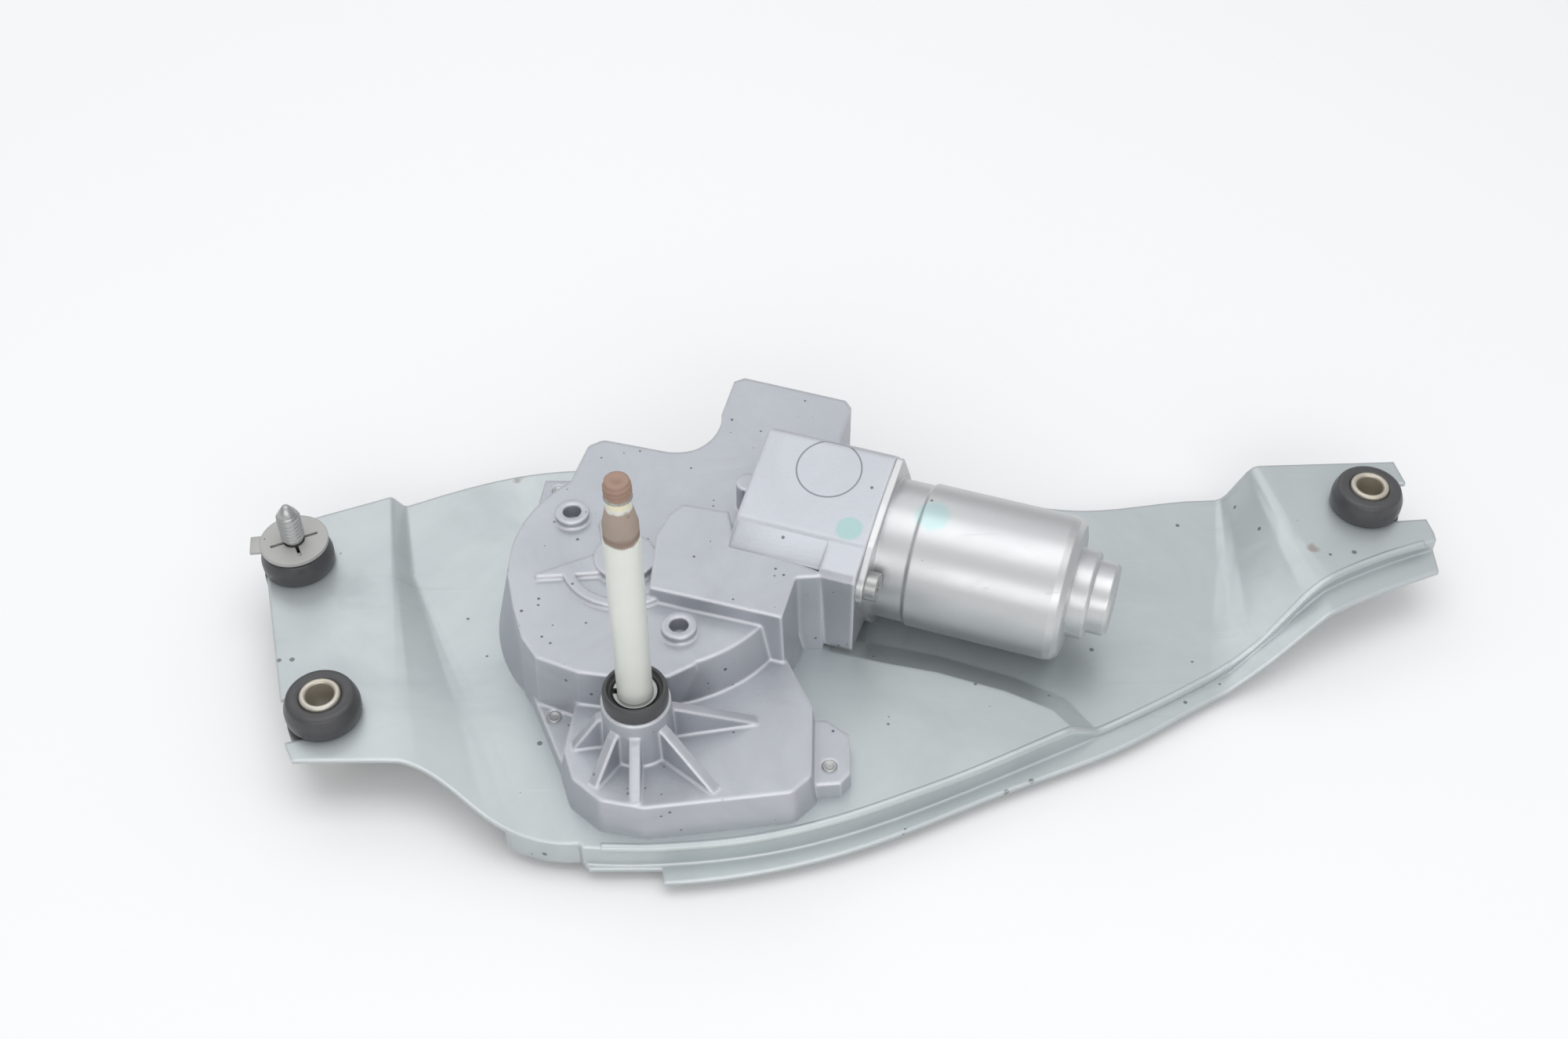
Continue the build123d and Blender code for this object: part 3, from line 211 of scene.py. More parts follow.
# %% The mark group: a round patch with a soft, slightly uneven rim
mark_group, start, end = new_group(
    "round mark",
    [("Centre", "NodeSocketVector", None), ("Radius", "NodeSocketFloat", 0.002),
     ("Blur", "NodeSocketFloat", 0.0003), ("Wobble", "NodeSocketFloat", 0.0002)],
    [("Mask", "NodeSocketFloat")],
)
tree = mark_group
place = object_place(tree)
apart = tree.nodes.new("ShaderNodeVectorMath")
apart.operation = "DISTANCE"
tree.links.new(place, apart.inputs[0])
tree.links.new(start.outputs["Centre"], apart.inputs[1])
uneven = uneven_by(tree, place, 420.0, start.outputs["Wobble"])
distance = math_node(tree, "ADD", apart.outputs["Value"], uneven)
inside = math_node(tree, "SUBTRACT", start.outputs["Radius"], distance)
tree.links.new(math_node(tree, "DIVIDE", inside, start.outputs["Blur"], clamp=True), end.inputs["Mask"])

# %% The band group: what lies between two heights
band_group, start, end = new_group(
    "height band",
    [("Low", "NodeSocketFloat", 0.0), ("High", "NodeSocketFloat", 0.01),
     ("Blur", "NodeSocketFloat", 0.0003), ("Wobble", "NodeSocketFloat", 0.0006)],
    [("Mask", "NodeSocketFloat")],
)
tree = band_group
place = object_place(tree)
parts = tree.nodes.new("ShaderNodeSeparateXYZ")
tree.links.new(place, parts.inputs["Vector"])
uneven = uneven_by(tree, place, 380.0, start.outputs["Wobble"])
height = math_node(tree, "ADD", parts.outputs["Z"], uneven)
over_low = math_node(tree, "SUBTRACT", height, start.outputs["Low"])
above = math_node(tree, "DIVIDE", over_low, start.outputs["Blur"], clamp=True)
under_high = math_node(tree, "SUBTRACT", start.outputs["High"], height)
below = math_node(tree, "DIVIDE", under_high, start.outputs["Blur"], clamp=True)
tree.links.new(math_node(tree, "MULTIPLY", above, below), end.inputs["Mask"])

# %% The scratch group: long thin lines, mostly one way
QUIET_LEVEL, LEVEL_DROP, CRISPNESS = 0.78, 0.3, 12.0
scratch_group, start, end = new_group(
    "long scratches",
    [("Turn", "NodeSocketVector", None), ("Fineness", "NodeSocketVector", None),
     ("Amount", "NodeSocketFloat", 0.3)],
    [("Mask", "NodeSocketFloat")],
)
tree = scratch_group
stretched = tree.nodes.new("ShaderNodeMapping")
tree.links.new(object_place(tree), stretched.inputs["Vector"])
tree.links.new(start.outputs["Turn"], stretched.inputs["Rotation"])
tree.links.new(start.outputs["Fineness"], stretched.inputs["Scale"])
noise = noise_node(tree, stretched.outputs["Vector"], scale=1.0, detail=3.0)
drop = math_node(tree, "MULTIPLY", start.outputs["Amount"], LEVEL_DROP)
over = math_node(tree, "SUBTRACT", noise.outputs["Fac"], math_node(tree, "SUBTRACT", QUIET_LEVEL, drop))
tree.links.new(math_node(tree, "MULTIPLY", over, CRISPNESS, clamp=True), end.inputs["Mask"])

# %% [markdown]
# ## The finish maker
# Every finish is the same recipe with other amounts: a base colour, a second colour that
# blotches in, dark specks, brighter edges for wear and a painted highlight, a roughness range,
# and a fine bump. One function holds the recipe, and a finish with marks of its own hands in a
# second function that lays them over. Colours are linear values. Scales of patterns are counted
# per metre.

# %% The finish maker
BUMP_DEPTH = 0.0005
finishes = {}


def place_group(tree, group, **values):
    """A group node with its named inputs set."""
    node = tree.nodes.new("ShaderNodeGroup")
    node.node_tree = group
    for label, value in values.items():
        node.inputs[label.capitalize()].default_value = value
    return node


def finish(name, colour, second, metallic, roughness, blotch=(60.0, 0.4, 1.2), specks=(500.0, 0.12),
           speck_colour=None, edge=(0.0005, 2.5), wear_highlight_colour=None, bump=(900.0, 0.02), coat=0.0,
           spread=0.12, dress=None):
    """Makes the material of one slot.

    blotch is (scale, stretch, contrast), specks (density, amount), edge (width, strength) and
    bump (scale, strength). dress(tree, colour, roughness, height) lays marks over those sockets.
    """
    material = bpy.data.materials.new(name)
    material.use_nodes = True
    tree = material.node_tree
    shader = tree.nodes["Principled BSDF"]
    shader.inputs["Metallic"].default_value = metallic
    shader.inputs["Coat Weight"].default_value = coat
    blotches = place_group(tree, blotch_group, size=blotch[0], stretch=blotch[1], contrast=blotch[2])
    spots = place_group(tree, speck_group, density=specks[0], amount=specks[1], edge=0.05)
    edges = place_group(tree, wear_highlight_group, width=edge[0], strength=edge[1])
    body = mix_colour(tree, blotches.outputs["Mask"], (*colour, 1), (*second, 1))
    dark = speck_colour or tuple(0.35 * c for c in colour)
    spotted = mix_colour(tree, spots.outputs["Mask"], body, (*dark, 1))
    # Convex edges take a lighter colour: partly wear, partly a painted highlight.
    edge_wear_highlight = wear_highlight_colour or tuple(min(1.0, 1.15 * c) for c in colour)
    shown = mix_colour(tree, edges.outputs["Mask"], spotted, (*edge_wear_highlight, 1))
    uneven_rough = math_node(tree, "MULTIPLY", blotches.outputs["Mask"], spread)
    rough = math_node(tree, "ADD", uneven_rough, roughness - spread / 2, clamp=True)
    height = noise_node(tree, object_place(tree), scale=bump[0], detail=4.0).outputs["Fac"]
    if dress:
        shown, rough, height = dress(tree, shown, rough, height)
    relief = tree.nodes.new("ShaderNodeBump")
    relief.inputs["Strength"].default_value = bump[1]
    relief.inputs["Distance"].default_value = BUMP_DEPTH
    tree.links.new(shown, shader.inputs["Base Color"])
    tree.links.new(rough, shader.inputs["Roughness"])
    tree.links.new(height, relief.inputs["Height"])
    tree.links.new(edges.outputs["Normal"], relief.inputs["Normal"])
    tree.links.new(relief.outputs["Normal"], shader.inputs["Normal"])
    finishes[name] = material


print("groups ready", len(bpy.data.node_groups))

# %% [markdown]
# ## Marks
# A mark is a mask that a finish uses twice: to shift the colour, and to shift the roughness
# or the relief. Places are given in plan millimetres and heights over the bracket's face.

# %% Helpers for marks
def round_mark(tree, centre, radius, blur, wobble):
    """A mask of a round patch, with all sizes in millimetres."""
    node = place_group(tree, mark_group, radius=radius * MM, blur=blur * MM, wobble=wobble * MM)
    node.inputs["Centre"].default_value = at_height(*centre)
    return node.outputs["Mask"]


def height_band(tree, low, high, blur, wobble):
    """A mask of what lies between two heights, in millimetres."""
    node = place_group(tree, band_group, low=(FACE_Z + low) * MM, high=(FACE_Z + high) * MM,
                       blur=blur * MM, wobble=wobble * MM)
    return node.outputs["Mask"]


def scratches(tree, angle, fineness, amount):
    """A mask of scratches that run along one direction of the plan, by an angle in degrees."""
    node = place_group(tree, scratch_group, amount=amount)
    node.inputs["Turn"].default_value = (0, 0, math.radians(angle))
    node.inputs["Fineness"].default_value = fineness
    return node.outputs["Mask"]


def tint(tree, mask, strength, colour, new_colour):
    """The colour with a new one laid over it inside the mask."""
    return mix_colour(tree, math_node(tree, "MULTIPLY", mask, strength), colour, (*new_colour, 1))


def roughened(tree, rough, mask, amount, way="ADD"):
    """The roughness, raised or lowered inside the mask."""
    return math_node(tree, way, rough, math_node(tree, "MULTIPLY", mask, amount), clamp=True)


# %% [markdown]
# ## The zinc coated sheet
# The bracket is pressed steel with a zinc coat: a pale, slightly green grey with a soft sheen.
# Pure metal would only mirror the studio, so 0.6 of it is metal and the rest behaves like
# paint. Wide blotches stand for the cloudy zinc. Handling left scratches, a scuff on the left
# flange, and two small rust spots where the coat was hurt.

# %% The zinc coated sheet
SCUFF_PLACE = (-74, 50, 5)
RUST_MARKS = (((-37.7, 93.1, 0.0), 1.6), ((165.9, 61.5, 7.0), 1.9))


def dress_sheet(tree, colour, rough, height):
    """Handling marks: a scuff, two small rust spots, pale scratches and rubbed streaks."""
    scuff = round_mark(tree, SCUFF_PLACE, 7.0, 5.0, 6.0)
    colour = tint(tree, scuff, 0.30, colour, (0.34, 0.36, 0.37))
    for place, radius in RUST_MARKS:
        colour = tint(tree, round_mark(tree, place, radius, 1.2, 3.0), 0.5, colour, (0.26, 0.17, 0.12))
    pale = scratches(tree, 12, (26.0, 1300.0, 60.0), 0.18)
    colour = tint(tree, pale, 0.35, colour, (0.78, 0.82, 0.82))
    rubbed = scratches(tree, 92, (14.0, 240.0, 30.0), 0.35)
    colour = tint(tree, rubbed, 0.22, colour, (0.40, 0.43, 0.43))
    return colour, roughened(tree, rough, pale, 0.10, "SUBTRACT"), height


# The pale edge colour is partly wear, partly a painted highlight on the folds and edges.
finish("zinc_sheet", (0.60, 0.645, 0.65), (0.50, 0.54, 0.55), 0.60, 0.38, blotch=(22.0, 0.9, 2.2),
       specks=(330.0, 0.09), edge=(0.0011, 3.0), wear_highlight_colour=(0.90, 0.93, 0.95), bump=(500.0, 0.02),
       dress=dress_sheet)
print("finished", list(finishes))

# %% [markdown]
# ## The die casting
# The gear housing is cast aluminium, greyer and bluer than the sheet, with a fine grain. Its
# edges are rubbed bright and carry a painted highlight, so the edge mask is strong and wide
# here. The motor block carries a green paint dot and a plain engraved ring. The ring is one
# round mark less a smaller one, painted dark as painted shade in its groove, and it lowers the
# relief, so that light catches its rim.

# %% The die casting
DOT_PLACE = (48.5, 46.9, 29.6)
RING_PLACE = (44.1, 63.9, 31.5)
RING_OUTER, RING_INNER, RING_BLUR = 8.4, 8.0, 0.12


def dress_casting(tree, colour, rough, height):
    """A green paint dot, a plain engraved ring on the block with painted shade in it, and faint tool streaks."""
    dot = round_mark(tree, DOT_PLACE, 3.5, 0.7, 0.9)
    colour = tint(tree, dot, 0.42, colour, (0.17, 0.50, 0.42))
    disc = round_mark(tree, RING_PLACE, RING_OUTER, RING_BLUR, 0.0)
    shaded_groove = math_node(tree, "SUBTRACT", disc, round_mark(tree, RING_PLACE, RING_INNER, RING_BLUR, 0.0))
    # The ring's groove is painted nearly black: painted shade.
    colour = tint(tree, shaded_groove, 0.75, colour, (0.14, 0.14, 0.16))
    streaks = scratches(tree, 20, (30.0, 900.0, 60.0), 0.25)
    height = math_node(tree, "SUBTRACT", height, math_node(tree, "MULTIPLY", shaded_groove, 6.0))
    return colour, roughened(tree, rough, streaks, 0.12), height


# The pale edge colour is partly rubbed wear, partly a painted highlight.
finish("cast_metal", (0.445, 0.462, 0.495), (0.54, 0.558, 0.595), 0.60, 0.38,
       blotch=(42.0, 0.8, 2.2), specks=(520.0, 0.20), edge=(0.0014, 4.5),
       wear_highlight_colour=(0.93, 0.94, 0.97), bump=(1300.0, 0.08), dress=dress_casting)
print("finished", list(finishes))

# %% [markdown]
# ## The drawn can
# The motor's can is bright drawn steel, the most metallic piece in view. Deep drawing leaves
# fine lines along it, which break up the highlight: they are scratches in the roughness
# alone. A pale blue-green paint mark sits near its open end.

# %% The drawn can
CAN_MARK_PLACE = (68.6, 50.2, 30.0)


def dress_can(tree, colour, rough, height):
    """A pale blue-green paint mark, and the fine lines of deep drawing along the can."""
    mark = round_mark(tree, CAN_MARK_PLACE, 4.8, 1.4, 1.8)
    colour = tint(tree, mark, 0.40, colour, (0.30, 0.62, 0.62))
    lines = scratches(tree, 18.5, (18.0, 1500.0, 900.0), 0.45)
    return colour, roughened(tree, rough, lines, 0.14), height


# The pale edge colour is partly wear, partly a painted highlight on the can's rims.
finish("yoke_steel", (0.66, 0.67, 0.67), (0.60, 0.61, 0.615), 0.85, 0.37, blotch=(30.0, 1.2, 2.0),
       specks=(380.0, 0.03), edge=(0.0006, 1.6), wear_highlight_colour=(0.86, 0.88, 0.90),
       bump=(700.0, 0.03), dress=dress_can)
print("finished", list(finishes))

# %% [markdown]
# ## Rubber, plastic and small metal
# The grommets and the seal are black rubber, lifted to a dark grey that is partly painted
# sheen, with dust in it. A thin coat gives the dull gleam of a moulded skin. The cover's plastic
# is darker and has a fine grain.
# The fasteners are zinc plated. The bushes are too, with a yellowish cast that blotches in.

# %% Rubber, plastic, fasteners and bushes
# Lighter edges on the black rubber and plastic: partly wear, partly a painted highlight.
BLACK_WEAR_HIGHLIGHT = (0.05, 0.05, 0.052)
# The rubber's dark grey base is partly painted sheen.
finish("black_rubber", (0.042, 0.042, 0.043), (0.072, 0.072, 0.075), 0.0, 0.42,
       blotch=(90.0, 0.6, 1.6), specks=(500.0, 0.08), speck_colour=(0.16, 0.15, 0.14),
       edge=(0.0006, 1.0), wear_highlight_colour=BLACK_WEAR_HIGHLIGHT, bump=(900.0, 0.05), coat=0.2)
finish("black_plastic", (0.016, 0.016, 0.018), (0.026, 0.026, 0.028), 0.0, 0.46,
       wear_highlight_colour=BLACK_WEAR_HIGHLIGHT, bump=(1600.0, 0.06))
finish("zinc_fastener", (0.50, 0.505, 0.50), (0.42, 0.425, 0.42), 0.8, 0.32, bump=(1200.0, 0.04))
finish("bush_steel", (0.66, 0.64, 0.59), (0.52, 0.45, 0.34), 0.7, 0.36, bump=(1200.0, 0.04))
print("finished", list(finishes))

# %% [markdown]
# ## The output shaft
# The shaft is coated nearly white, and so it is hardly metallic at all. Where the wiper arm
# clamps, the coat is gone and the steel has rusted: on the knurled band, the cone and the
# thread. A turned neck between cone and thread stays bright and yellowish. All of this depends
# on height alone, so bands of height paint it, with uneven ends.

# %% The output shaft's finish
CLAMP_BAND, KNURL_BAND, NECK_BAND, THREAD_BAND = (76.2, 85.5), (76.2, 79.0), (85.6, 88.0), (88.0, 93.5)


def dress_shaft(tree, colour, rough, height):
    """Bare, rusted steel where the arm clamps, and a bright turned neck under the thread."""
    clamp = height_band(tree, *CLAMP_BAND, 0.5, 1.2)
    colour = tint(tree, clamp, 0.88, colour, (0.33, 0.24, 0.19))
    colour = tint(tree, height_band(tree, *KNURL_BAND, 1.2, 1.6), 0.55, colour, (0.17, 0.10, 0.075))
    colour = tint(tree, height_band(tree, *NECK_BAND, 0.3, 0.5), 0.85, colour, (0.80, 0.74, 0.52))
    thread = height_band(tree, *THREAD_BAND, 0.3, 0.6)
    colour = tint(tree, thread, 0.90, colour, (0.33, 0.19, 0.13))
    return colour, roughened(tree, rough, math_node(tree, "MAXIMUM", clamp, thread), 0.22), height


finish("shaft_steel", (0.80, 0.82, 0.76), (0.74, 0.765, 0.71), 0.05, 0.34, blotch=(80.0, 0.5, 1.4),
       specks=(500.0, 0.06), bump=(700.0, 0.03), dress=dress_shaft)
finish("washer_steel", (0.43, 0.43, 0.415), (0.50, 0.495, 0.48), 0.2, 0.5, bump=(900.0, 0.05))
print("finished", list(finishes))

# %% [markdown]
# ## The parts inside
# The drive and the motor's inner parts stay hidden until the casting is lifted off. They get
# plain versions of the same recipe, and then every node receives the finish of its slot.

# %% Finishes of the inner parts, and a finish for each node
finish("laminated_steel", (0.30, 0.30, 0.31), (0.22, 0.22, 0.23), 0.8, 0.42)
finish("copper_wire", (0.62, 0.24, 0.09), (0.48, 0.17, 0.06), 0.85, 0.32)
finish("brass_contact", (0.72, 0.52, 0.22), (0.62, 0.44, 0.19), 0.95, 0.28)
finish("ferrite", (0.05, 0.05, 0.055), (0.07, 0.07, 0.075), 0.1, 0.6)
finish("carbon", (0.02, 0.02, 0.02), (0.03, 0.03, 0.03), 0.1, 0.5)
finish("gear_plastic", (0.66, 0.63, 0.54), (0.60, 0.57, 0.49), 0.0, 0.42)
finish("sintered_bronze", (0.42, 0.29, 0.16), (0.34, 0.23, 0.13), 0.8, 0.45)
finish("board_green", (0.02, 0.11, 0.05), (0.03, 0.14, 0.06), 0.0, 0.4)
for part in frame["record"]["subparts"]:
    materials = nodes[part["node"]].data.materials
    materials.clear()
    materials.append(finishes[part["material_slot"]])
print("finishes", len(finishes))

# %% [markdown]
# ## New pieces
# A new piece is a bmesh that becomes an object at the origin. It rides on a body of the
# frame, takes the finish of its slot, and hides the construction nodes it stands for, if any.

# %% Placing a piece
MERGE_WITHIN = 0.002 * MM


def place_piece(name, shape, slot_name, body, stands_for=()):
    """Turns a bmesh into an object at the origin, with its finish, body and slot."""
    mesh = bpy.data.meshes.new(name)
    shape.to_mesh(mesh)
    shape.free()
    piece = bpy.data.objects.new(name, mesh)
    bpy.context.collection.objects.link(piece)
    mesh.materials.append(finishes[slot_name])
    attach(piece, body)
    if stands_for:
        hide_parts(*stands_for)
    print(name, "on", body, "faces", len(mesh.polygons))
    return piece


def close_up(shape):
    """Merges points that share a place, and turns every face outward."""
    bmesh.ops.remove_doubles(shape, verts=shape.verts, dist=MERGE_WITHIN)
    bmesh.ops.recalc_face_normals(shape, faces=shape.faces)


def sharpen(shape, degrees):
    """Smooth shading that stops at edges sharper than the angle."""
    for face in shape.faces:
        face.smooth = True
    for edge in shape.edges:
        edge.smooth = len(edge.link_faces) == 2 and edge.calc_face_angle(0) < math.radians(degrees)


# %% [markdown]
# ## Turned pieces
# The shaft, the captive bolt, the rubber grommets and their bushes are round. Each could be a
# stack of cylinders, but a turned part is one profile, so it is spun from a profile here, and
# the corners of the profile are rounded first. A thread or a knurl then moves the spun points
# in and out by a rule, which keeps the mesh closed and its points where the tool cut.

# %% Turned pieces
ROUND_CREASE = 50
CORNER_SHARE = 0.45


def round_corners(profile, radius, steps=3):
    """Cuts each inner corner of an (r, h) profile with a small arc of points."""
    out = [profile[0]]
    for before, corner, after in zip(profile, profile[1:], profile[2:]):
        a, b, c = Vector(before), Vector(corner), Vector(after)
        reach = min(radius, (a - b).length * CORNER_SHARE, (c - b).length * CORNER_SHARE)
        first = b + (a - b).normalized() * reach
        last = b + (c - b).normalized() * reach
        for i in range(steps + 1):
            t = i / steps
            out.append(tuple(first.lerp(b, t).lerp(b.lerp(last, t), t)))
    return out + [profile[-1]]


def spun(shape, axis_at, profile, segments):
    """Adds a profile of (radius, height) pairs to a bmesh, spun once round its upright axis."""
    points = [shape.verts.new(at_height(axis_at[0] + r, axis_at[1], h)) for r, h in profile]
    edges = [shape.edges.new(pair) for pair in zip(points, points[1:])]
    bmesh.ops.spin(shape, geom=points + edges, cent=at_height(*axis_at, 0), axis=(0, 0, 1),
                   angle=2 * math.pi, steps=segments, use_merge=True)
    close_up(shape)


def turned_piece(name, axis_at, profile, segments, slot_name, stands_for=(), crease=ROUND_CREASE):
    """A piece of the base that is one spun profile."""
    shape = bmesh.new()
    spun(shape, axis_at, profile, segments)
    sharpen(shape, crease)
    return place_piece(name, shape, slot_name, "base", stands_for)


# %% Threads and other rules for radii
def move_radii(shape, axis_at, rule):
    """Gives each point the radius that the rule says for its own radius, height and angle."""
    centre = at_height(*axis_at, 0)
    for vert in shape.verts:
        out = Vector((vert.co.x - centre.x, vert.co.y - centre.y))
        if out.length < 0.1 * MM:
            continue
        r, h = out.length / MM, (vert.co.z - centre.z) / MM
        out *= rule(r, h, math.atan2(out.y, out.x)) / r
        vert.co.x, vert.co.y = centre.x + out.x, centre.y + out.y


def thread_rule(low, high, pitch, core, crest):
    """A rule that winds a thread of that pitch between two heights."""
    def rule(r, h, angle):
        if r < core or not low < h < high:
            return r
        turn = (h / pitch - angle / (2 * math.pi)) % 1.0
        run_out = min(1.0, (h - low) / pitch, (high - h) / pitch)
        return min(r, core + (crest - core) * (1 - abs(2 * turn - 1)) * run_out)
    return rule


def stack(low, high, step):
    """Even heights from low to high, about a step apart."""
    count = max(1, round((high - low) / step))
    return [low + (high - low) * i / count for i in range(count + 1)]


# %% [markdown]
# ## The output shaft in detail
# The arm sits on a knurled band and a cone, and a nut on the thread pulls it down. The band
# and the foot of the cone get 40 fine teeth round them, as a cosine of the angle. The thread
# is M6 with its true pitch of 1 mm, and it runs out at both ends.

# %% The output shaft: its profile
SHAFT_AXIS = (0, 0)
SHAFT_FOOT, BAND_LOW, BAND_HIGH, CONE_HIGH, THREAD_LOW, THREAD_HIGH = 2.4, 76.1, 80.5, 85.3, 88.0, 92.5
SHAFT_RADIUS, BAND_RADIUS, NECK_RADIUS, CREST_RADIUS, CORE_RADIUS = 4.0, 3.8, 2.4, 3.0, 2.42
shaft_profile = [(0, SHAFT_FOOT), (3.6, SHAFT_FOOT), (SHAFT_RADIUS, SHAFT_FOOT + 0.4),
                 (SHAFT_RADIUS, BAND_LOW - 0.1), (3.84, BAND_LOW)]
shaft_profile += [(BAND_RADIUS, h) for h in stack(BAND_LOW + 0.4, BAND_HIGH, 0.7)]
for h in stack(BAND_HIGH + 0.3, CONE_HIGH, 0.8):
    shaft_profile.append((BAND_RADIUS - (h - BAND_HIGH) / (CONE_HIGH - BAND_HIGH), h))
shaft_profile += [(2.45, CONE_HIGH + 0.3), (NECK_RADIUS, CONE_HIGH + 0.5), (NECK_RADIUS, THREAD_LOW - 0.05)]
shaft_profile += [(CREST_RADIUS, h) for h in stack(THREAD_LOW, THREAD_HIGH - 0.4, 0.1)]
shaft_profile += [(2.55, THREAD_HIGH - 0.05), (2.35, THREAD_HIGH), (0.9, THREAD_HIGH),
                  (0.5, THREAD_HIGH - 0.4), (0, THREAD_HIGH - 0.5)]
print("shaft profile points", len(shaft_profile))

# %% The output shaft: its knurl and thread
KNURLS, KNURL_DEPTH, SMALLEST_KNURLED = 40, 0.16, 3.2
arm_thread = thread_rule(THREAD_LOW + 0.05, THREAD_HIGH - 0.2, 1.0, CORE_RADIUS, CREST_RADIUS)


def shaft_rule(r, h, angle):
    """Teeth on the band and on the foot of the cone, and the thread over them."""
    if BAND_LOW + 0.2 < h < BAND_HIGH + 1.4 and r > SMALLEST_KNURLED:
        return r - KNURL_DEPTH * (0.5 + 0.5 * math.cos(KNURLS * angle))
    return arm_thread(r, h, angle)


shape = bmesh.new()
spun(shape, SHAFT_AXIS, shaft_profile, 160)
move_radii(shape, SHAFT_AXIS, shaft_rule)
sharpen(shape, ROUND_CREASE)
place_piece("shaft_dressed", shape, "shaft_steel", "output", ("output_shaft",))

# %% [markdown]
# ## The captive bolt
# A bolt with a cone point stands in the rear left grommet, held by a push-on washer until the
# unit is fitted. Its flanged head is under the grommet, out of sight. Flange, shank and thread
# are one spun profile, and the hexagon is a six-sided cylinder added to the same mesh.

# %% The captive bolt with its coarse thread, cone point and flanged head
FRONT_LEFT, REAR_LEFT, RIGHT_SIDE = (-74.4, 11.0), (-88.5, 58.9), (182.1, 77.2)
LEFT_H, RIGHT_H, SHEET, REACH = 5.0, 7.0, 1.2, 6.5
WASHER_H = LEFT_H + REACH + 0.6
HEAD_TOP = WASHER_H - 2 * REACH - SHEET - 1.2
STUD_FOOT, STUD_TIP = WASHER_H + 1.2, 25.0
FLANGE_RADIUS, SHANK_RADIUS, STUD_RADIUS, STUD_CORE, STUD_PITCH = 7.0, 2.6, 3.0, 2.25, 1.2
HEX_RADIUS, HEX_DEPTH = 5.2, 3.2
bolt_profile = [(0, HEAD_TOP - 1.0), (FLANGE_RADIUS, HEAD_TOP - 1.0), (FLANGE_RADIUS, HEAD_TOP),
                (SHANK_RADIUS, HEAD_TOP), (SHANK_RADIUS, STUD_FOOT)]
bolt_profile += [(STUD_RADIUS, h) for h in stack(STUD_FOOT + 0.1, STUD_TIP - 2.6, 0.13)]
bolt_profile += [(2.5, STUD_TIP - 2.3), (0.9, STUD_TIP - 0.25), (0.6, STUD_TIP - 0.03), (0, STUD_TIP)]
shape = bmesh.new()
spun(shape, REAR_LEFT, bolt_profile, 96)
move_radii(shape, REAR_LEFT, thread_rule(STUD_FOOT, STUD_TIP - 2.3, STUD_PITCH, STUD_CORE, STUD_RADIUS))
hexagon = bmesh.ops.create_cone(shape, cap_ends=True, segments=6, radius1=HEX_RADIUS * MM,
                                radius2=HEX_RADIUS * MM, depth=HEX_DEPTH * MM)
bmesh.ops.translate(shape, verts=hexagon["verts"], vec=at_height(*REAR_LEFT, HEAD_TOP - 2.4))
sharpen(shape, ROUND_CREASE)
place_piece("bolt_dressed", shape, "zinc_fastener", "base", ("mounting_bolt",))

# %% [markdown]
# ## The grommets and their bushes
# Three rubber grommets are pushed into open notches of the sheet, with a groove that grips it.
# A steel bush in each takes the bolt, so that tightening it doesn't crush the rubber. Both are
# soft at the edges, which a plain cylinder would miss, so each profile has its corners rounded.

# %% The grommets and their bushes
TURN_STEPS = 72
for place, axis_at, h in (("front_left", FRONT_LEFT, LEFT_H), ("rear_left", REAR_LEFT, LEFT_H),
                          ("right", RIGHT_SIDE, RIGHT_H)):
    mid, half = h - SHEET / 2, REACH + SHEET / 2
    low, high = mid - half, mid + half
    rubber = [(4.8, mid), (4.8, low), (7.6, low), (9.0, low + 1.8), (9.0, mid - 0.7), (6.5, mid - 0.7),
              (6.5, mid + 0.7), (8.9, mid + 0.7), (9.0, high - 3.2), (8.0, high - 0.4), (6.9, high),
              (5.6, high), (4.8, high - 0.4), (4.8, mid)]
    turned_piece(f"grommet_{place}_soft", axis_at, round_corners(rubber, 0.9), TURN_STEPS,
                 "black_rubber", (f"grommet_{place}",))
    sleeve = [(3.3, mid), (3.3, low - 0.3), (3.7, low - 0.6), (4.5, low - 0.6), (4.8, low),
              (4.8, high + 0.2), (4.4, high + 0.6), (3.75, high + 0.6), (3.3, high + 0.1), (3.3, mid)]
    turned_piece(f"bush_{place}_soft", axis_at, round_corners(sleeve, 0.25), TURN_STEPS,
                 "bush_steel", (f"bush_{place}",))

# %% [markdown]
# ## The shaft seal
# A rubber cap on the boss keeps water off the shaft. Its top dips towards the shaft and ends
# in a thin lip, which the profile follows step by step.

# %% The shaft seal, with its folded lip
SEAL_LOW, SEAL_HIGH = 23.7, 28.0
seal = [(6.6, SEAL_LOW), (7.4, SEAL_LOW + 0.3), (7.45, SEAL_HIGH - 1.0), (7.0, SEAL_HIGH), (6.3, SEAL_HIGH),
        (6.0, SEAL_HIGH - 1.1), (5.4, SEAL_HIGH - 1.3), (5.2, SEAL_HIGH - 2.2), (4.4, SEAL_HIGH - 2.4),
        (4.4, SEAL_LOW + 1.1), (5.4, SEAL_LOW + 0.9), (5.6, SEAL_LOW), (6.6, SEAL_LOW)]
turned_piece("seal_soft", SHAFT_AXIS, round_corners(seal, 0.45), TURN_STEPS, "black_rubber", ("shaft_seal",))

# %% [markdown]
# ## Screw ends in the ears
# The screws of the casting come from below and end flush with its ears, in a small rolled cup.
# The construction model's screws are plain, so the cups are added as three more turned pieces.

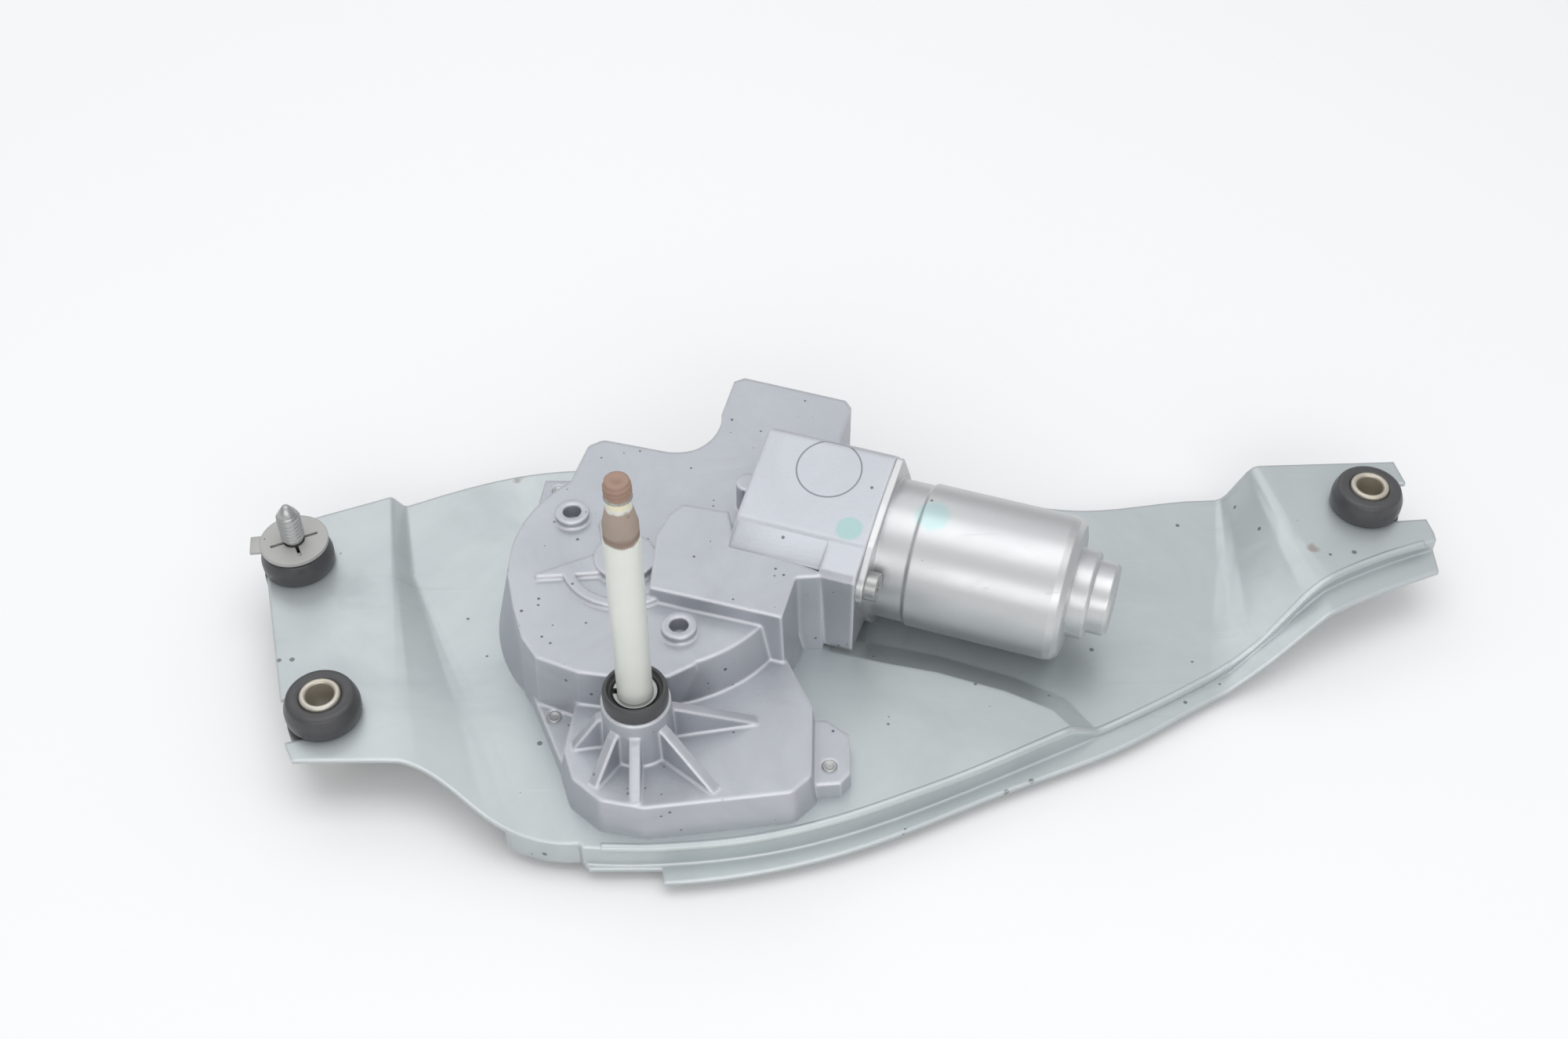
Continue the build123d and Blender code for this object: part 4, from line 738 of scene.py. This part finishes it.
# %% Screw ends in the ears
EAR_H = 5.0
BLOCK_CREASE = 45
SCREW_PLACES = ((43.4, -4.6), (-20.5, 9.6), (-25.5, 84.0))
screw_end = [(0, EAR_H - 0.5), (1.7, EAR_H - 0.5), (1.72, EAR_H + 0.05), (1.45, EAR_H + 0.3),
             (1.1, EAR_H + 0.28), (0.85, EAR_H + 0.02), (0, EAR_H + 0.02)]
for number, axis_at in enumerate(SCREW_PLACES, 1):
    turned_piece(f"screw_end_{number}", axis_at, screw_end, 32, "zinc_fastener", crease=BLOCK_CREASE)

# %% [markdown]
# ## The washer's lug
# The push-on washer of the captive bolt has a small square lug on one side. A cube, sized and
# turned in place, with a small bevel, is all that it needs.

# %% The washer's lug
LUG_SIZE, LUG_PLACE, LUG_TURN = (3.4, 5.6, 0.9), (-97.4, 57.4, WASHER_H + 0.5), 8
shape = bmesh.new()
bmesh.ops.create_cube(shape, size=MM)
bmesh.ops.scale(shape, verts=shape.verts, vec=LUG_SIZE)
turn = Matrix.Rotation(math.radians(LUG_TURN), 3, "Z")
bmesh.ops.rotate(shape, verts=shape.verts, cent=(0, 0, 0), matrix=turn)
bmesh.ops.translate(shape, verts=shape.verts, vec=at_height(*LUG_PLACE))
bmesh.ops.bevel(shape, geom=shape.edges, offset=0.25 * MM, segments=2, profile=0.5, affect="EDGES", material=-1)
sharpen(shape, BLOCK_CREASE)
place_piece("washer_lug", shape, "washer_steel", "base")

# %% [markdown]
# ## The slanted face of the block
# The front edge of the motor block runs down to the box in one slanted face. It lies along
# the motor, which is turned in plan, so a helper gives points in the motor's own directions.
# Its cross-section is one face, extruded along the motor and bevelled like a casting.

# %% The slanted face of the block
MOTOR_TURN = math.radians(-18.5)
MOTOR_FOOT = Vector((57.43, 56.94))
ALONG = Vector((math.cos(MOTOR_TURN), math.sin(MOTOR_TURN)))
ACROSS = Vector((-math.sin(MOTOR_TURN), math.cos(MOTOR_TURN)))
APRON_START, APRON_END, APRON_ROUND = -32.2, -8.6, 0.6
APRON_PROFILE = ((-15.0, 28.9), (-23.2, 25.1), (-23.2, 22.0), (-15.0, 22.0))


def motor_place(s, t, h):
    """A point from the length along the motor, the distance across it, and the height."""
    plan = MOTOR_FOOT + ALONG * s + ACROSS * t
    return at_height(plan.x, plan.y, h)


shape = bmesh.new()
face = shape.faces.new([shape.verts.new(motor_place(APRON_START, t, h)) for t, h in APRON_PROFILE])
swept = bmesh.ops.extrude_face_region(shape, geom=[face])
moved = [item for item in swept["geom"] if isinstance(item, bmesh.types.BMVert)]
bmesh.ops.translate(shape, verts=moved, vec=motor_place(APRON_END, 0, 0) - motor_place(APRON_START, 0, 0))
bmesh.ops.recalc_face_normals(shape, faces=shape.faces)
bmesh.ops.bevel(shape, geom=shape.edges, offset=APRON_ROUND * MM, segments=3, profile=0.5, affect="EDGES",
                material=-1)
sharpen(shape, BLOCK_CREASE)
place_piece("block_apron", shape, "cast_metal", "base")

# %% [markdown]
# ## The pressed sheet
# The ramps of the bracket are twisted surfaces, which the construction node gives as small
# flat facets. A copy of the node takes its place, with the same points and rounder shading:
# only real folds stay crisp, and the large flats keep their own direction.

# %% The bracket's shading
FOLD_LIMIT = 24
shape = bmesh.new()
shape.from_mesh(nodes["mounting_bracket"].data)
close_up(shape)
sharpen(shape, FOLD_LIMIT)
sheet = place_piece("bracket_sheet", shape, "zinc_sheet", "base", ("mounting_bracket",))
flats = sheet.modifiers.new("flats", "WEIGHTED_NORMAL")
flats.keep_sharp = True

# %% [markdown]
# ## The bend along the bracket's front lip
# Where the sheet turns down into its stiffening lip, the bend is round, and rubbed bright. A
# sharp fold would look like cut card. A thin tube follows the lip's line, at the height of the
# sheet under it, which is measured by looking straight down on the construction node. Only the
# tube's outer quarter shows.

# %% Curves as meshes
LINE_STEPS = 12
TUBE_ROUNDNESS = 4


def path_curve(kind, points):
    """A curve with one spline, which has its points but no shape yet."""
    data = bpy.data.curves.new("path", "CURVE")
    data.dimensions = "3D"
    data.resolution_u = LINE_STEPS
    line = data.splines.new(kind)
    knots = line.bezier_points if kind == "BEZIER" else line.points
    knots.add(len(points) - 1)
    return data, knots


def mesh_of(data):
    """The mesh that a curve makes, with the curve's holder removed again."""
    holder = bpy.data.objects.new("path", data)
    mesh = bpy.data.meshes.new_from_object(holder)
    bpy.data.objects.remove(holder)
    return mesh


def smooth_line(points):
    """Places along a smooth line through the points."""
    data, knots = path_curve("BEZIER", points)
    for knot, point in zip(knots, points):
        knot.co = point
        knot.handle_left_type = knot.handle_right_type = "AUTO"
    return [vert.co.copy() for vert in mesh_of(data).vertices]


def tube_mesh(points, radius):
    """A tube with closed ends along straight pieces between the points."""
    data, knots = path_curve("POLY", points)
    data.bevel_depth = radius * MM
    data.bevel_resolution = TUBE_ROUNDNESS
    data.use_fill_caps = True
    for knot, point in zip(knots, points):
        knot.co = (*point, 1)
    return mesh_of(data)


# %% The lip's bend
BEND_RADIUS, BEND_INSET, LOOK_FROM, LOOK_BEHIND, BEND_CREASE = 1.15, 0.8, 60.0, 2.2, 60
LIP_LINE = [(-9.5, -23.5), (6.7, -23.4), (33, -19.6), (67.3, -7.0), (98.9, 8.5), (116, 17.2),
            (137, 29.5), (150, 38.0), (165, 49.0), (180.6, 57.5), (196, 63.6)]
DOWN = Vector((0, 0, -1))
steel = nodes["mounting_bracket"].data
steel_tree = BVHTree.FromPolygons([v.co for v in steel.vertices], [p.vertices for p in steel.polygons])
plan = smooth_line([at_height(x, y, LOOK_FROM) for x, y in LIP_LINE])
bend_path = []
for before, point, after in zip(plan, plan[1:], plan[2:]):
    run = (after - before).normalized()
    behind = Vector((-run.y, run.x, 0))
    hit = steel_tree.ray_cast(point + behind * LOOK_BEHIND * MM, DOWN)[0]
    if hit:
        inset = point + behind * BEND_INSET * MM
        bend_path.append(Vector((inset.x, inset.y, hit.z - BEND_INSET * MM)))
shape = bmesh.new()
shape.from_mesh(tube_mesh(bend_path, BEND_RADIUS))
close_up(shape)
sharpen(shape, BEND_CREASE)
place_piece("lip_bend", shape, "zinc_sheet", "base")
print("lip bend points", len(bend_path))

# %% [markdown]
# ## The floor
# The part lies on white paper, which keeps its soft shadow. The paper should look nearly white,
# yet light the metal from below no more than paper does. So its colour is brighter for rays
# that come straight from the camera, and a little darker for all others.

# %% The floor
FLOOR_HALF, FLOOR_DROP, FLOOR_ROUGHNESS = 3.0, 0.0002, 0.6
PAPER_LIGHTING, PAPER_SEEN = (0.88, 0.88, 0.875, 1), (0.97, 0.97, 0.965, 1)
shape = bmesh.new()
bmesh.ops.create_grid(shape, x_segments=1, y_segments=1, size=FLOOR_HALF)
bmesh.ops.translate(shape, vec=(0, 0, TABLE_Z - FLOOR_DROP), verts=shape.verts)
mesh = bpy.data.meshes.new("floor")
shape.to_mesh(mesh)
shape.free()
floor = bpy.data.objects.new("floor", mesh)
bpy.context.collection.objects.link(floor)
paper = bpy.data.materials.new("floor")
paper.use_nodes = True
tree = paper.node_tree
rays = tree.nodes.new("ShaderNodeLightPath")
seen = mix_colour(tree, rays.outputs["Is Camera Ray"], PAPER_LIGHTING, PAPER_SEEN)
tree.links.new(seen, tree.nodes["Principled BSDF"].inputs["Base Color"])
tree.nodes["Principled BSDF"].inputs["Roughness"].default_value = FLOOR_ROUGHNESS
mesh.materials.append(paper)
print("floor under", TABLE_Z)

# %% [markdown]
# ## Light
# Three large soft lamps stand round the part, as in a small photo tent: one overhead for the
# flats, a wide one in front for the walls, and a weak cool one behind for the rims. The world
# fills in from all sides, brighter from above, which gives the metal something to reflect.

# %% Lamps
AIM = Vector((0.045, 0.035, TABLE_Z))


def area_lamp(name, place, size, power, colour=(1, 1, 1)):
    """A rectangular lamp in metres and watts, turned to the part."""
    lamp = bpy.data.lights.new(name, "AREA")
    lamp.shape = "RECTANGLE"
    lamp.size, lamp.size_y = size
    lamp.energy = power
    lamp.color = colour
    holder = bpy.data.objects.new(name, lamp)
    bpy.context.collection.objects.link(holder)
    holder.location = place
    holder.rotation_euler = (AIM - Vector(place)).to_track_quat("-Z", "Y").to_euler()
    print(name, "lamp", power, "W")


area_lamp("overhead", (0.05, 0.12, 0.95), size=(1.1, 0.7), power=2.9)
area_lamp("front", (0.10, -0.95, 0.42), size=(1.4, 0.5), power=3.5)
area_lamp("rear", (-0.25, 0.80, 0.60), size=(1.0, 0.4), power=0.9, colour=(0.97, 0.985, 1.0))

# %% World
LOW_SKY, HIGH_SKY, SKY_STRENGTH = (0.50, 0.505, 0.515, 1), (0.90, 0.91, 0.93, 1), 0.82
world = bpy.data.worlds.new("studio")
world.use_nodes = True
tree = world.node_tree
direction = tree.nodes.new("ShaderNodeTexCoord")
parts = tree.nodes.new("ShaderNodeSeparateXYZ")
tree.links.new(direction.outputs["Generated"], parts.inputs["Vector"])
rise = tree.nodes.new("ShaderNodeMapRange")
rise.inputs["From Min"].default_value = -0.1
rise.inputs["From Max"].default_value = 1.0
tree.links.new(parts.outputs["Z"], rise.inputs["Value"])
background = tree.nodes["Background"]
tree.links.new(mix_colour(tree, rise.outputs["Result"], LOW_SKY, HIGH_SKY), background.inputs["Color"])
background.inputs["Strength"].default_value = SKY_STRENGTH
bpy.context.scene.world = world
print("world strength", SKY_STRENGTH)

# %% [markdown]
# ## Camera
# The camera stands in front of the part and looks down by 46 degrees. Its focal length was
# fitted in pixels of a picture 2000 wide, and a lens wants millimetres on a sensor, so the
# sensor's width carries one into the other.

# %% Camera
PICTURE_WIDTH, FOCAL_PIXELS, SENSOR_WIDTH, PITCH = 2000, 2457.0, 36.0, 46.0
CAMERA_PLACE = (33.03, -269.29, -98.5 + 370.65)
lens = bpy.data.cameras.new("camera")
lens.sensor_width = SENSOR_WIDTH
lens.lens = SENSOR_WIDTH * FOCAL_PIXELS / PICTURE_WIDTH
camera = bpy.data.objects.new("camera", lens)
camera.location = Vector(CAMERA_PLACE) * MM
camera.rotation_euler = (math.radians(90 - PITCH), 0, 0)
bpy.context.collection.objects.link(camera)
scene = bpy.context.scene
scene.camera = camera
scene.view_settings.view_transform = "Standard"
print("lens", lens.lens, "mm")
